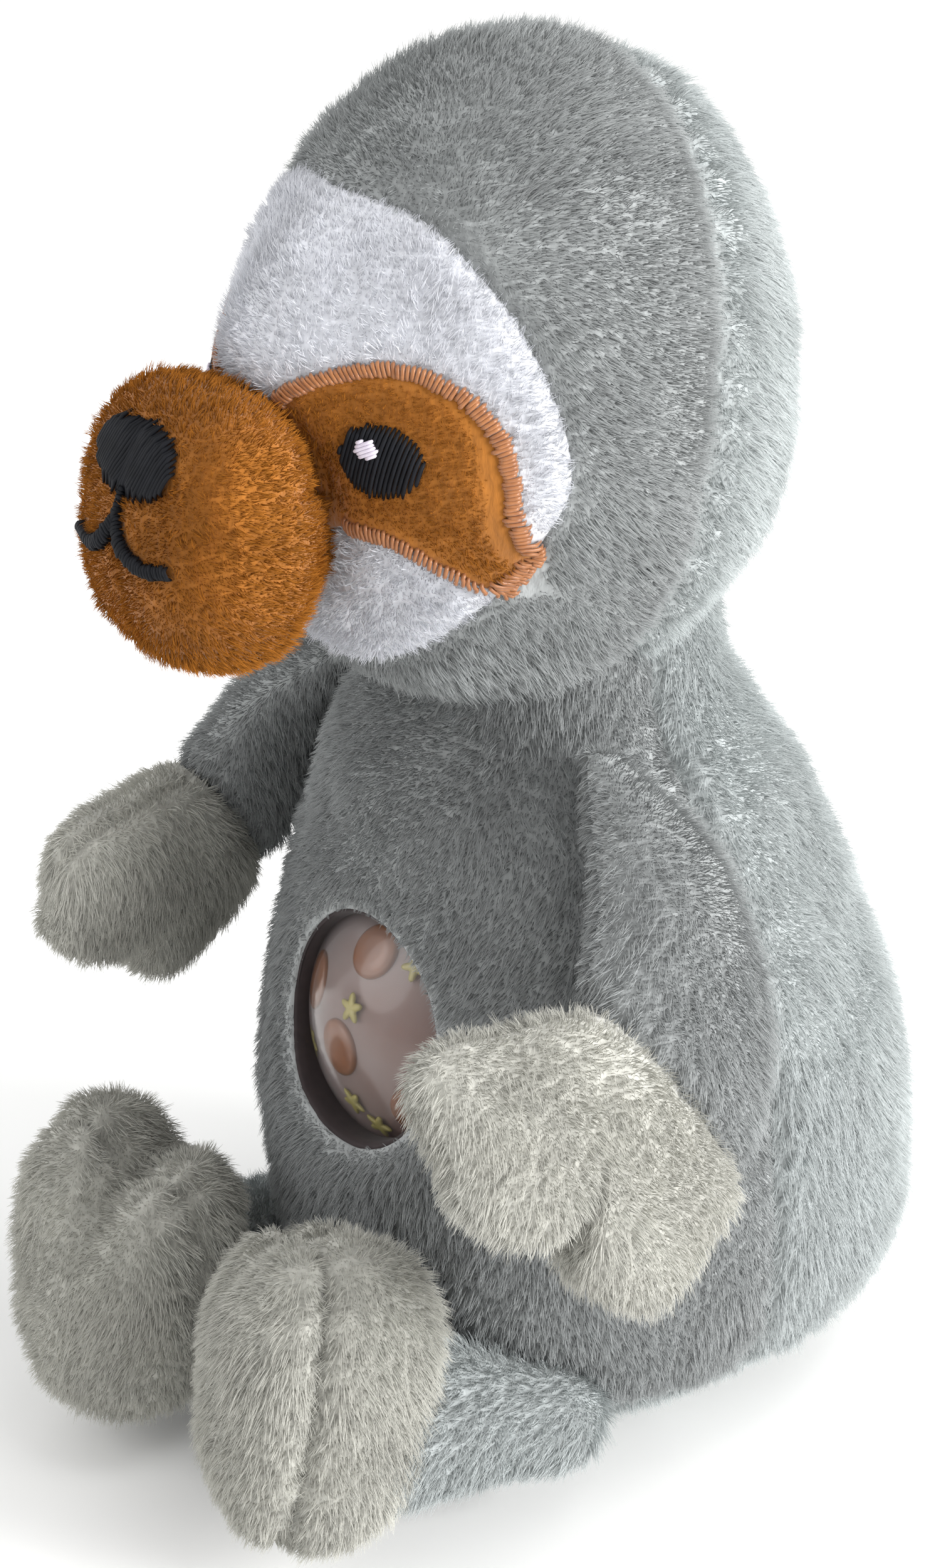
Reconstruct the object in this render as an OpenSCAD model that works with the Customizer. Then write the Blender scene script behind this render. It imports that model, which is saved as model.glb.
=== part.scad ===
/* Seated plush sloth with a squeeze ball showing through a round belly window.
   Millimetres. The toy sits on z = 0 and faces -Y; +X is the toy's left side. */

/* [Fabric] */
// Thickness of the plush fabric, backing and pressed pile together
fabric = 1.6; // [1.2:0.1:2]
// Clearance between a cover and what fills it
ply_gap = 0.2; // [0.1:0.05:0.4]

/* [Torso] */
// Height of the stuffed body, from the seat to the neck
torso_h = 96; // [94:1:98]
// Half width of the body at its widest
torso_half_w = 38.5; // [36:0.5:42]
// Depth of the body in front of its middle line, at its widest
torso_front = 40; // [38:0.5:43]
// Depth of the body behind its middle line, at its widest
torso_back = 40.5; // [37:0.5:43]

/* [Head] */
// Half width of the head
head_half_w = 31; // [29:0.5:34]
// Height of the head above its centre
head_up = 43; // [40:0.5:46]
// Height of the head below its centre
head_down = 34; // [32:0.5:36]
// Depth of the head in front of its centre
head_front = 33.5; // [30:0.5:35]
// Depth of the head behind its centre
head_back = 37; // [34:0.5:40]
// Angle that the face is tipped up by
head_tilt = 11; // [6:1:14]

/* [Muzzle] */
// Length of the muzzle, from the head's centre to the tip of its nose
muzzle_reach = 50; // [46:0.5:54]
// Half width of the muzzle's front
muzzle_half_w = 15.5; // [14:0.5:17]
// Half height of the muzzle's front
muzzle_half_h = 16.5; // [15:0.5:19]

/* [Belly ball] */
// Radius of the squeeze ball
ball_r = 21; // [19:0.5:22]
// Radius of the hole in the belly
window_r = 14.6; // [14:0.1:15.5]
// Height of the window's centre above the seat
window_z = 58; // [54:0.5:62]
// Distance that a squeeze pushes the ball out
ball_travel = 1.2; // [0.6:0.1:1.5]

/* [Arms] */
// Angle that the left arm is swung forward by
lift_left = 0; // [-16:1:20]
// Angle that the right arm is swung forward by
lift_right = -8; // [-16:1:20]
// Angle that the right arm turns in towards the belly
turn_in_right = 15; // [0:1:20]
// Thickness of a stuffed hand
hand_t = 15; // [12:0.5:17]

/* [Legs] */
// Angle that each leg turns in from straight ahead
leg_turn = 12; // [8:1:14]
// Angle that the left leg is raised by
raise_left = 10; // [0:1:12]
// Angle that the right leg is raised by
raise_right = 4; // [0:1:12]
// Angle that each foot turns in from straight ahead
foot_turn = 22; // [10:1:30]
// Height of a foot
foot_h = 42; // [40:0.5:48]
// Thickness of a stuffed foot
foot_t = 29; // [26:0.5:30]

/* [Quality] */
// Points around a body or head section
around = 32; // [24:4:40]

/* [Hidden] */
$fn = 48;
free_gap = 0.4;         // clearance between pieces on different bodies

grey = [0.62, 0.64, 0.64];
light_grey = [0.71, 0.73, 0.73];
paw_grey = [0.78, 0.77, 0.74];
white = [0.93, 0.93, 0.95];
brown = [0.68, 0.42, 0.15];
copper = [0.72, 0.42, 0.2];
black = [0.1, 0.1, 0.12];
fibre = [0.95, 0.94, 0.9];
lining = [0.2, 0.15, 0.15];

// ---------- Curves and lofts ----------

// Smooth value at x in column col of a table of keys, [x, value, ...] in rising x
function key_at(x, keys, i = 0) =
    i >= len(keys) - 2 || x < keys[i + 1][0] ? i : key_at(x, keys, i + 1);
function hermite(t, p, m, q, n) =
    (2*t^3 - 3*t^2 + 1)*p + (t^3 - 2*t^2 + t)*m + (3*t^2 - 2*t^3)*q + (t^3 - t^2)*n;
function smooth(x, keys, col) =
    let (
        i = key_at(x, keys),
        last = len(keys) - 1,
        a = keys[max(i - 1, 0)],
        b = keys[i],
        c = keys[i + 1],
        d = keys[min(i + 2, last)],
        h = c[0] - b[0],
        m = h*(c[col] - a[col])/(c[0] - a[0]),
        n = h*(d[col] - b[col])/(d[0] - b[0])
    )
    hermite((x - b[0])/h, b[col], m, c[col], n);

// Closed smooth loop of n points through the given corner points
function loop_points(p, n) =
    let (m = len(p))
    [for (k = [0:n - 1])
        let (
            s = k*m/n,
            i = floor(s),
            b = p[i % m],
            c = p[(i + 1) % m],
            u = (c - p[(i + m - 1) % m])/2,
            v = (p[(i + 2) % m] - b)/2
        )
        hermite(s - i, b, u, c, v)];

// Cosine or sine raised to a power, keeping its sign: under 1 squares a round section
function rounded(v, e) = sign(v)*pow(abs(v), e);

// Faces of a strip of quads between row a and row b, whose points start at those indices
function strip(a, b, n, wrap) =
    [for (i = [0:n - (wrap ? 1 : 2)])
        let (k = (i + 1) % n)
        each [[a + i, b + i, a + k], [a + k, b + i, b + k]]];
function grid_faces(start, rows, n, wrap) =
    [for (j = [0:rows - 2]) each strip(start + j*n, start + (j + 1)*n, n, wrap)];
function flipped(faces) = [for (f = faces) [f[0], f[2], f[1]]];
function middle(ring) = [for (s = [for (p = ring) 1]*ring) s]/len(ring);
function flat(rings) = [for (r = rings) each r];

// Solid between closed rings, each cap closed to its middle
module loft(rings) {
    m = len(rings);
    n = len(rings[0]);
    caps = m*n;
    polyhedron(
        concat(flat(rings), [middle(rings[0]), middle(rings[m - 1])]),
        concat(
            grid_faces(0, m, n, true),
            [for (i = [0:n - 1]) [caps, i, (i + 1) % n]],
            [for (i = [0:n - 1]) [caps + 1, (m - 1)*n + (i + 1) % n, (m - 1)*n + i]]
        )
    );
}

// Cup: a wall between outer and inner rings, open at the first ring and closed at the last
module cup(outer, inner) {
    m = len(outer);
    n = len(outer[0]);
    caps = 2*m*n;
    polyhedron(
        concat(flat(outer), flat(inner), [middle(outer[m - 1]), middle(inner[m - 1])]),
        concat(
            grid_faces(0, m, n, true),
            flipped(grid_faces(m*n, m, n, true)),
            flipped(strip(0, m*n, n, true)),
            [for (i = [0:n - 1]) [caps, (m - 1)*n + (i + 1) % n, (m - 1)*n + i]],
            [for (i = [0:n - 1])
                [caps + 1, m*n + (m - 1)*n + i, m*n + (m - 1)*n + (i + 1) % n]]
        )
    );
}

// Sleeve: a wall between outer and inner rings, open at both ends
module sleeve(outer, inner) {
    m = len(outer);
    n = len(outer[0]);
    polyhedron(
        concat(flat(outer), flat(inner)),
        concat(
            grid_faces(0, m, n, true),
            flipped(grid_faces(m*n, m, n, true)),
            flipped(strip(0, m*n, n, true)),
            strip((m - 1)*n, (2*m - 1)*n, n, true)
        )
    );
}

// Panel: a wall between an outer and an inner grid, open on all four sides
module panel(outer, inner) {
    m = len(outer);
    n = len(outer[0]);
    left = [for (j = [0:m - 1]) each [j*n, (m + j)*n]];
    right = [for (j = [0:m - 1]) each [j*n + n - 1, (m + j)*n + n - 1]];
    polyhedron(
        concat(flat(outer), flat(inner)),
        concat(
            grid_faces(0, m, n, false),
            flipped(grid_faces(m*n, m, n, false)),
            flipped(strip(0, m*n, n, false)),
            strip((m - 1)*n, (2*m - 1)*n, n, false),
            [for (j = [0:m - 2])
                each [
                    [left[2*j], left[2*j + 1], left[2*j + 2]],
                    [left[2*j + 2], left[2*j + 1], left[2*j + 3]]
                ]],
            [for (j = [0:m - 2])
                each [
                    [right[2*j], right[2*j + 2], right[2*j + 1]],
                    [right[2*j + 2], right[2*j + 3], right[2*j + 1]]
                ]]
        )
    );
}

// ---------- Torso ----------

// Fractions: height, middle line's offset, half width, front depth, back depth
torso_keys = [
    [0.000, -0.05, 0.38, 0.42, 0.74],
    [0.030, -0.05, 0.56, 0.66, 0.93],
    [0.090, -0.04, 0.77, 0.88, 1.04],
    [0.200, -0.03, 0.94, 0.98, 1.05],
    [0.350, -0.04, 1.00, 1.00, 1.02],
    [0.510, -0.07, 1.00, 0.98, 0.98],
    [0.660, -0.10, 0.95, 0.88, 0.88],
    [0.810, -0.14, 0.86, 0.73, 0.78],
    [0.930, -0.19, 0.74, 0.60, 0.67],
    [1.000, -0.21, 0.50, 0.41, 0.46]
];
section_e = 0.92;               // squareness of the body's sections
fill_gap = 0.6;                 // room between the covers and the filling
base_seam_z = 0.09*torso_h;     // seam between the side panels and the base
bean_top = 0.17*torso_h;        // top of the bean bag under the stuffing
half_steps = around/2;

// Angles all the way round, or from a0 to a1 with both ends
function full_turn(n) = [for (i = [0:n - 1]) 360*i/n];
function spread(a0, a1, n) = [for (i = [0:n]) a0 + (a1 - a0)*i/n];

// Point of the body's surface at height z and angle a, moved in by d
function torso_point(z, a, d) =
    let (
        f = z/torso_h,
        mid = smooth(f, torso_keys, 1)*torso_back,
        depth = sin(a) < 0
            ? smooth(f, torso_keys, 3)*torso_front
            : smooth(f, torso_keys, 4)*torso_back
    )
    [
        (smooth(f, torso_keys, 2)*torso_half_w - d)*rounded(cos(a), section_e),
        mid + (depth - d)*rounded(sin(a), section_e),
        z
    ];
function torso_rings(z0, z1, rows, angles, d) =
    [for (z = spread(z0, z1, rows)) [for (a = angles) torso_point(z, a, d)]];

module torso_core(z0, z1, rows) {
    loft(torso_rings(z0, z1, rows, full_turn(around), fabric + fill_gap));
}

module torso_half(a0) {
    angles = spread(a0, a0 + 180, half_steps);
    panel(
        torso_rings(base_seam_z, torso_h, 13, angles, 0),
        torso_rings(base_seam_z, torso_h, 13, angles, fabric)
    );
}

module torso_front_cover() {
    color(grey) difference() {
        torso_half(180);
        at_window() translate([0, 0, -9]) cylinder(r = window_r, h = 14);
        hip_pockets();
    }
}

module torso_back_cover() {
    color(light_grey) torso_half(0);
}

module base_gusset() {
    turn = full_turn(around);
    color(light_grey) difference() {
        sleeve(
            torso_rings(0.3, base_seam_z - 0.1, 6, turn, 0),
            torso_rings(0.3, base_seam_z - 0.1, 6, turn, fabric)
        );
        translate([0, 0, -1]) linear_extrude(1 + fabric + 0.1) seat_outline(0.1);
        hip_pockets();
    }
}

module seat_outline(grow) {
    polygon([for (a = full_turn(around))
        let (p = torso_point(0, a, -grow)) [p[0], p[1]]]);
}

module seat_panel() {
    color(light_grey) linear_extrude(fabric) seat_outline(0);
}

module bean_bag() {
    color(fibre) difference() {
        torso_core(fabric + ply_gap, bean_top, 8);
        hip_pockets();
    }
}

module torso_stuffing() {
    color(fibre) difference() {
        torso_core(bean_top + ply_gap, torso_h - fabric, 12);
        at_window() capsule(ball_r + pocket_gap + pocket_t + ply_gap);
        at_window() translate([0, 0, -10]) cylinder(r = pocket_mouth_r, h = 16);
        hip_pockets();
        at_neck() sphere(neck_r + free_gap);
    }
}

// ---------- Belly window and ball ----------

ball_recess = 1.2;      // depth of the ball's front behind the fabric
belly_tilt = 9;         // angle that the belly faces up by
ball_skin_t = 1.2;
pocket_t = 0.8;         // thin lining cloth behind the ball
pocket_gap = 0.5;
pocket_front = 4.8;     // depth of the pocket's mouth behind the fabric
pocket_mouth_r = window_r + 3;
ball_z = -(ball_recess + ball_r);

// The window's middle on the fabric, with +Z out of the belly
module at_window() {
    translate([0, torso_point(window_z, -90, 0)[1], window_z])
        rotate([90 - belly_tilt, 0, 0])
            children();
}

// Space that a ball of radius r sweeps as it is pushed out
module capsule(r) {
    translate([0, 0, ball_z]) sphere(r);
    translate([0, 0, ball_z]) cylinder(r = r, h = ball_travel);
    translate([0, 0, ball_z + ball_travel]) sphere(r);
}

module ball_pocket() {
    color(lining) at_window() difference() {
        capsule(ball_r + pocket_gap + pocket_t);
        capsule(ball_r + pocket_gap);
        translate([-ball_r*2, -ball_r*2, -pocket_front]) cube(ball_r*4);
    }
}

module window_lining() {
    lining_t = 0.8;
    color(lining) intersection() {
        at_window() translate([0, 0, -pocket_front + 0.3]) difference() {
            cylinder(r = window_r - 0.1, h = 6);
            translate([0, 0, -1]) cylinder(r = window_r - 0.1 - lining_t, h = 8);
        }
        loft(torso_rings(window_z - 20, window_z + 20, 10, full_turn(around), 0.6));
    }
}

module in_ball(elevation, turn, depth) {
    at_window() translate([0, 0, ball_z]) rotate([0, 0, turn]) rotate([0, elevation, 0])
        translate([0, 0, ball_r - ball_skin_t - depth]) children();
}

module ball_skin() {
    color([0.85, 0.8, 0.8, 0.4]) at_window() translate([0, 0, ball_z]) difference() {
        sphere(ball_r);
        sphere(ball_r - ball_skin_t);
    }
}

module ball_gel() {
    color([0.8, 0.72, 0.72, 0.5]) difference() {
        at_window() translate([0, 0, ball_z]) sphere(ball_r - ball_skin_t - 0.05);
        disc_shapes();
        star_shapes();
    }
}

disc_r = 3.4;
disc_t = 1.2;
// Tilt from the window's middle and turn about it, for each disc and each star
disc_places = [[12, 235], [34, 172], [30, 95], [38, 320], [75, 40], [110, 150], [150, 260]];
star_places = [[8, 100], [37, 60], [30, 268], [38, 285], [36, 212], [80, 300], [120, 20]];

module disc_shapes() {
    for (p = disc_places) in_ball(p[0], p[1], 2.4) cylinder(r = disc_r, h = disc_t);
}

module star_shapes() {
    tips = 5;
    for (p = star_places) in_ball(p[0], p[1], 1.2)
        linear_extrude(0.6)
            polygon([for (i = [0:2*tips - 1])
                let (r = i % 2 == 0 ? 1.9 : 0.9) r*[cos(180*i/tips), sin(180*i/tips)]]);
}

module orange_discs() {
    color([0.65, 0.36, 0.12]) disc_shapes();
}

module yellow_stars() {
    color([0.78, 0.78, 0.32]) star_shapes();
}

// ---------- Neck ----------

neck_pos = [0, -10, 98];
neck_r = 11;

module at_neck() {
    translate(neck_pos) children();
}

module neck_core() {
    core_r = 9;
    tack_r = 1.5;
    reach = neck_r - 0.2;
    color(fibre) at_neck() union() {
        intersection() {
            sphere(neck_r);
            translate([0, 0, -neck_r]) cylinder(r = core_r, h = 2*neck_r);
        }
        translate([-reach, 0, 0]) rotate([0, 90, 0]) cylinder(r = tack_r, h = 2*reach);
    }
}

// ---------- Head ----------

head_pos = [0, -16.5, 132.5];
seam_y = 8;             // distance of the crown seam behind the head's centre
seam_gap = 0.3;         // angle left open between two covers
clockwise = [for (a = full_turn(around)) -a];
// Latitude of the white face's border for each angle round the face
face_keys = [[-180, 69], [-135, 60], [-110, 59], [-90, 60], [-70, 59], [-45, 60], [-15, 67],
    [0, 70], [20, 61], [45, 48], [90, 36], [135, 48], [160, 61], [180, 69]];
rim_mid_z = -9;         // the hole that the muzzle closes, an oval on the face
rim_half_w = 11;
rim_half_h = 12;

module at_head() {
    translate(head_pos) rotate([-head_tilt, 0, 0]) children();
}

// Point of the head's surface: lat from the face back, lon round the face from +X up
function head_point(lat, lon, d) = [
    (head_half_w - d)*sin(lat)*cos(lon),
    -((lat < 90 ? head_front : head_back) - d)*cos(lat),
    ((sin(lon) > 0 ? head_up : head_down) - d)*sin(lat)*sin(lon)
];
// Point of the head's surface straight behind x, z
function face_point(x, z, d) =
    let (u = x/head_half_w, v = z/(z > 0 ? head_up : head_down), b = head_front - d)
    [x*(1 - d/head_half_w), -b*sqrt(max(0, 1 - u*u - v*v)), z*(1 - d/head_down)];

function turned(a) = a > 180 ? a - 360 : a < -180 ? a + 360 : a;
face_lats = [for (a = clockwise) smooth(turned(a), face_keys, 1)];
function same_lat(lat) = [for (a = clockwise) lat];
seam_lat = 90 + asin(seam_y/head_back);

// Rings between two borders, each a list of one latitude for every longitude
function head_band(from, to, rows, d) =
    [for (f = spread(0, 1, rows))
        [for (i = [0:around - 1])
            head_point(from[i] + (to[i] - from[i])*f, clockwise[i], d)]];

module neck_socket() {
    at_neck() sphere(neck_r + free_gap);
}

// The muzzle's rim, moved out by grow
function rim_point(a, grow, d) =
    face_point((rim_half_w + grow)*cos(a), rim_mid_z + (rim_half_h + grow)*sin(a), d);

module face_panel() {
    rows = 5;
    outer = [for (d = [0, fabric])
        [for (f = spread(0, 1, rows))
            [for (i = [0:around - 1])
                let (
                    a = clockwise[i],
                    lat = face_lats[i],
                    rim = rim_point(a, 0, 0),
                    edge = head_point(lat, a, 0),
                    x = rim[0] + (edge[0] - rim[0])*f,
                    z = rim[2] + (edge[2] - rim[2])*f
                )
                face_point(x, z, d)]]];
    color(white) at_head() sleeve(outer[0], outer[1]);
}

module head_front_cover() {
    from = [for (a = face_lats) a + seam_gap];
    color(grey) difference() {
        at_head() sleeve(
            head_band(from, same_lat(seam_lat), 5, 0),
            head_band(from, same_lat(seam_lat), 5, fabric)
        );
        neck_socket();
    }
}

module head_back_cover() {
    from = same_lat(seam_lat + seam_gap);
    color(light_grey) difference() {
        at_head() cup(
            head_band(from, same_lat(176), 7, 0),
            head_band(from, same_lat(176), 7, fabric)
        );
        neck_socket();
    }
}

module head_stuffing() {
    d = fabric + ply_gap + 0.2;
    color(fibre) difference() {
        at_head() loft(head_band(same_lat(5), same_lat(175), 14, d));
        neck_socket();
    }
}

// ---------- Muzzle ----------

muzzle_mid_z = -11.9;   // height of the muzzle's middle line on the head
muzzle_e = 0.8;         // squareness of the muzzle's sections
muzzle_root = 0.15;     // fraction along the muzzle where its stuffing starts
// Fractions: distance along the muzzle, blend from rim to front, size of the front section
muzzle_keys = [[0, 0, 1], [0.2, 0.75, 1], [0.4, 1, 1], [0.65, 1, 0.97], [0.82, 1, 0.84],
    [0.94, 1, 0.6], [1, 1, 0.3]];
front_keys = [for (k = muzzle_keys) if (k[0] > 0.3) [k[2], k[0]]];

function muzzle_section(a, d) =
    [(muzzle_half_w - d)*rounded(cos(a), muzzle_e),
        (muzzle_half_h - d)*rounded(sin(a), muzzle_e)];
function muzzle_point(t, a, d) =
    let (
        root = rim_point(a, -d, 0) - [0, 0.3, 0],
        blend = smooth(t, muzzle_keys, 1),
        k = smooth(t, muzzle_keys, 2),
        front = k*muzzle_section(a, d),
        x = root[0] + (front[0] - root[0])*blend,
        z = root[2] + (muzzle_mid_z + front[1] - root[2])*blend
    )
    [x, root[1] + (-muzzle_reach + d - root[1])*t, z];
function muzzle_rings(t0, t1, rows, d) =
    [for (t = spread(t0, t1, rows)) [for (a = full_turn(around)) muzzle_point(t, a, d)]];

// Point of the muzzle's front at x, z
function front_point(x, z, d) =
    let (
        a = atan2(z - muzzle_mid_z, x),
        k = norm([x, z - muzzle_mid_z])/norm(muzzle_section(a, 0)),
        p = muzzle_point(lookup(k, front_keys), a, d)
    )
    [x, p[1], z];

module muzzle_cover() {
    color(brown) at_head() cup(muzzle_rings(0, 1, 10, 0), muzzle_rings(0, 1, 10, fabric));
}

module muzzle_stuffing() {
    color(fibre) at_head() loft(muzzle_rings(muzzle_root, 1, 8, fabric + ply_gap));
}

// ---------- Embroidery ----------

sunk = 0.3;             // depth that stitches pull into the fabric
satin_t = 0.7;          // height of a satin stitch over the fabric
face_on = function (x, z, d) face_point(x, z, d);
front_on = function (x, z, d) front_point(x, z, d);

// Domed oval of half sizes w and h, stitched on a surface at x, z
module stitched_oval(x, z, w, h, on) {
    turn = full_turn(24);
    loft([for (r = [[sunk, 1], [-satin_t*0.7, 1], [-satin_t, 0.6]])
        [for (a = turn) on(x + r[1]*w*cos(a), z + r[1]*h*sin(a), r[0])]]);
}

// Raised strip of half width w, stitched on a surface along a path of x, z
module stitched_strip(path, w, on) {
    last = len(path) - 1;
    across = [[-1, 0.5], [-0.5, 1], [0.5, 1], [1, 0.5]];
    sides = [for (i = [0:last])
        let (v = path[min(i + 1, last)] - path[max(i - 1, 0)])
        [v[1], -v[0]]*w/norm(v)];
    rows = [for (part = [0, 1])
        [for (i = [0:last])
            [for (c = across)
                let (p = path[i] + sides[i]*c[0])
                on(p[0], p[1], part == 0 ? -satin_t*c[1] : sunk)]]];
    panel(rows[0], rows[1]);
}

function curve(keys, n) =
    [for (t = spread(keys[0][0], keys[len(keys) - 1][0], n))
        [smooth(t, keys, 1), smooth(t, keys, 2)]];

module nose() {
    color(black) at_head() stitched_oval(0, -4.4, 7.2, 4.1, front_on);
}

module mouth() {
    smile = [[0, 0, -10.6], [1, 1.4, -13.3], [2, 4.6, -15.2], [3, 8.6, -14.6]];
    color(black) at_head() union() {
        stitched_strip([[0, -8.7], [0, -9.8], [0, -10.9], [0, -12]], 1, front_on);
        stitched_strip(curve(smile, 8), 1.2, front_on);
        mirror([1, 0, 0]) stitched_strip(curve(smile, 8), 1.2, front_on);
    }
}

// Edges of the eye patch from the muzzle out: key, x, z
patch_top = [[0, 3.6, 4.6], [1, 9, 7.4], [2, 15.6, 9.2], [3, 21.2, 7.2], [4, 24.7, 1.6],
    [5, 25.8, -9]];
patch_bottom = [[0, 13.4, -9.4], [1.6, 16.5, -9.4], [3.3, 19.8, -11.2], [5, 23.2, -13.8]];
border_half_w = 1.2;

module eye_patch() {
    steps = 10;
    rises = [for (f = spread(0, 1, 6))
        [for (i = [0:steps])
            let (p = curve(patch_bottom, steps)[i], q = curve(patch_top, steps)[i])
            p + (q - p)*f]];
    color(brown) at_head() panel(
        [for (row = rises) [for (p = row) face_point(p[0], p[1], -0.45)]],
        [for (row = rises) [for (p = row) face_point(p[0], p[1], sunk)]]
    );
}

module patch_border() {
    top = curve(patch_top, 14);
    bottom = curve(patch_bottom, 8);
    path = concat(top, [for (i = [len(bottom) - 1:-1:0]) bottom[i]]);
    color(copper) at_head() stitched_strip(path, border_half_w, face_on);
}

module eye() {
    color(black) at_head() stitched_oval(15.6, -0.7, 3.9, 3.9, face_on);
}

module glint() {
    color(white) at_head() translate([0, -satin_t*1.35, 0])
        stitched_oval(14.4, 0.5, 1.1, 1, face_on);
}

// ---------- Arms ----------

arm_pos = [35, -14, 96];        // a point of the arm's middle plane, at the shoulder
arm_slope = 20;                 // angle between the arm's plane and upright
pivot = [3, 2];                 // where the arm is stitched on, in its plane
arm_sink = 7.3;                 // reach of the arm's root behind its plane
// Arm's front edge, back edge (each forward, down), half thickness, offset from its plane
arm_keys = [
    [0, 7.5, -7.2, 2.2, -6.2, 1.7, -5.2],
    [1, 11.0, -1.0, 0.0, -1.0, 4.0, -3.1],
    [2, 13.8, 3.5, -1.9, 6.0, 5.2, -1.6],
    [3, 16.4, 8.0, -2.9, 13.5, 5.9, -0.5],
    [4, 18.6, 11.6, -3.1, 21.5, 6.3, 0.2],
    [5, 20.4, 14.6, -2.1, 29.0, 6.6, 0.5],
    [6, 21.6, 16.6, 0.8, 36.5, 6.9, 0.8],
    [7, 22.6, 18.0, 6.6, 43.6, 7.1, 1.0]
];
wrist = [22.6, 18];
wrist_turn = 32;
hand_mid = [27, 33, 1];
hand_corners = [[23.5, 17], [32.6, 17], [40.8, 15.8], [45.7, 18.6], [46.5, 23.7], [45.3, 29.4],
    [45.4, 34.4], [39.8, 41], [34.2, 42.4], [31, 41.2], [31, 47.8], [25, 54], [19.6, 54],
    [13, 49.8], [6.6, 43.6], [-1, 33], [3, 20], [13, 13.5]];
hand_points = 40;

// Each arm's swing forward and turn in
left_pose = [lift_left, 0];
right_pose = [lift_right, turn_in_right];

// Frame of the left arm's plane: +X forward, +Y down the arm, +Z away from the body
module at_arm(pose) {
    translate(arm_pos) rotate([0, 0, -pose[1]]) rotate([0, 90 - arm_slope, 0]) rotate([0, 0, -90])
        translate([pivot[0], pivot[1], 0]) rotate([0, 0, -pose[0]])
            translate([-pivot[0], -pivot[1], 0])
                children();
}

function arm_ring(t, d) =
    let (
        f = [smooth(t, arm_keys, 1), smooth(t, arm_keys, 2)],
        b = [smooth(t, arm_keys, 3), smooth(t, arm_keys, 4)],
        mid = (f + b)/2,
        half = (f - b)/2*(1 - 2*d/norm(f - b)),
        thick = smooth(t, arm_keys, 5) - d,
        off = smooth(t, arm_keys, 6)
    )
    [for (a = clockwise) [each mid + half*cos(a), off + thick*sin(a)]];
function arm_rings(t0, t1, rows, d) = [for (t = spread(t0, t1, rows)) arm_ring(t, d)];

// Cushion with a flat outline in X and Y and a seam round its middle
function cushion_rings(outline, mid, half_t, d) =
    [for (w = [-0.97, -0.88, -0.7, -0.4, 0, 0.4, 0.7, 0.88, 0.97])
        let (k = pow(1 - pow(abs(w), 2.6), 0.5))
        [for (p = outline)
            let (v = [p[0] - mid[0], p[1] - mid[1]], r = max(k*norm(v) - d, 1))
            [each [mid[0], mid[1]] + v/norm(v)*r, mid[2] + w*(half_t - d)]]];

module hand_solid(d) {
    loft(cushion_rings(loop_points(hand_corners, hand_points), hand_mid, hand_t/2, d));
}

// Everything on the arm's side of the wrist seam
module above_wrist(gap) {
    translate([wrist[0], wrist[1], 0]) rotate([0, 0, wrist_turn])
        translate([gap - 60, -60, -30]) cube([60, 120, 60]);
}

module arm_cover(pose) {
    color(grey) at_arm(pose) difference() {
        loft(arm_rings(0, 7, 10, 0));
        arm_cavity();
    }
}

module arm_cavity() {
    loft(arm_rings(0.6, 7.3, 10, fabric));
}

module arm_stuffing(pose) {
    color(fibre) at_arm(pose) loft(arm_rings(0.9, 6.95, 8, fabric + ply_gap));
}

module hand_cover(pose) {
    color(paw_grey) at_arm(pose) difference() {
        hand_solid(0);
        hand_solid(fabric);
        above_wrist(0.2);
    }
}

module hand_stuffing(pose) {
    color(fibre) at_arm(pose) difference() {
        hand_solid(fabric + ply_gap);
        above_wrist(0.5);
    }
}

module shoulder_stitches(pose) {
    stitch_r = 2.2;
    color(grey) at_arm(pose) translate([pivot[0], pivot[1], -15])
        cylinder(r = stitch_r, h = 15 - arm_sink - free_gap);
}

// ---------- Legs ----------

hip_pos = [26, -28, 13];
hip_r = 8;
ankle_r = 12;
leg_sides = 24;
leg_len = 29;           // from the hip's centre into the foot
foot_pos = [19.5, -59, 0];
foot_mid = [0, 0, 0];
foot_seam = 3.5;        // distance of the foot's seam in front of its middle
// Outline of the foot seen from the front: outwards and up, as parts of its height
foot_corners = [[0, -0.5], [0.17, -0.47], [0.28, -0.3], [0.32, -0.05], [0.31, 0.18],
    [0.27, 0.38], [0.17, 0.49], [0.06, 0.48], [-0.02, 0.4], [-0.08, 0.37], [-0.15, 0.39],
    [-0.23, 0.37], [-0.3, 0.27], [-0.32, 0.08], [-0.32, -0.14], [-0.26, -0.35],
    [-0.15, -0.47]];
foot_points = 40;

module at_hip(raise) {
    translate(hip_pos) rotate([-raise, 0, 0]) children();
}

// Hip's frame, +Z along the leg
module along_leg() {
    rotate([0, 0, -leg_turn]) rotate([87, 0, 0]) children();
}

module at_foot() {
    translate(foot_pos - hip_pos + [0, 0, foot_h/2]) rotate([0, 0, -foot_turn])
        rotate([90, 0, 0]) children();
}

module foot_solid(d) {
    loft(cushion_rings(loop_points(foot_h*foot_corners, foot_points), foot_mid, foot_t/2, d));
}

// Bullet along +Z: a round end of radius r about the hip, then a cone to radius tip at len
module bullet(r, tip, len) {
    turn = full_turn(leg_sides);
    round_end = [for (a = [-84, -70, -54, -37, -19]) [r*sin(a), r*cos(a)]];
    cone = [for (f = spread(0, 1, 3)) [len*f, r + (tip - r)*f]];
    loft([for (p = concat(round_end, cone))
        [for (a = turn) [p[1]*cos(a), p[1]*sin(a), p[0]]]]);
}

module leg_solid(d) {
    along_leg() bullet(hip_r - d, ankle_r - d, leg_len);
}

module hip_pockets() {
    for (side = [0, 1]) mirror([side, 0, 0]) translate(hip_pos)
        along_leg() bullet(hip_r + free_gap, hip_r + 6, 14);
}

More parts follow.
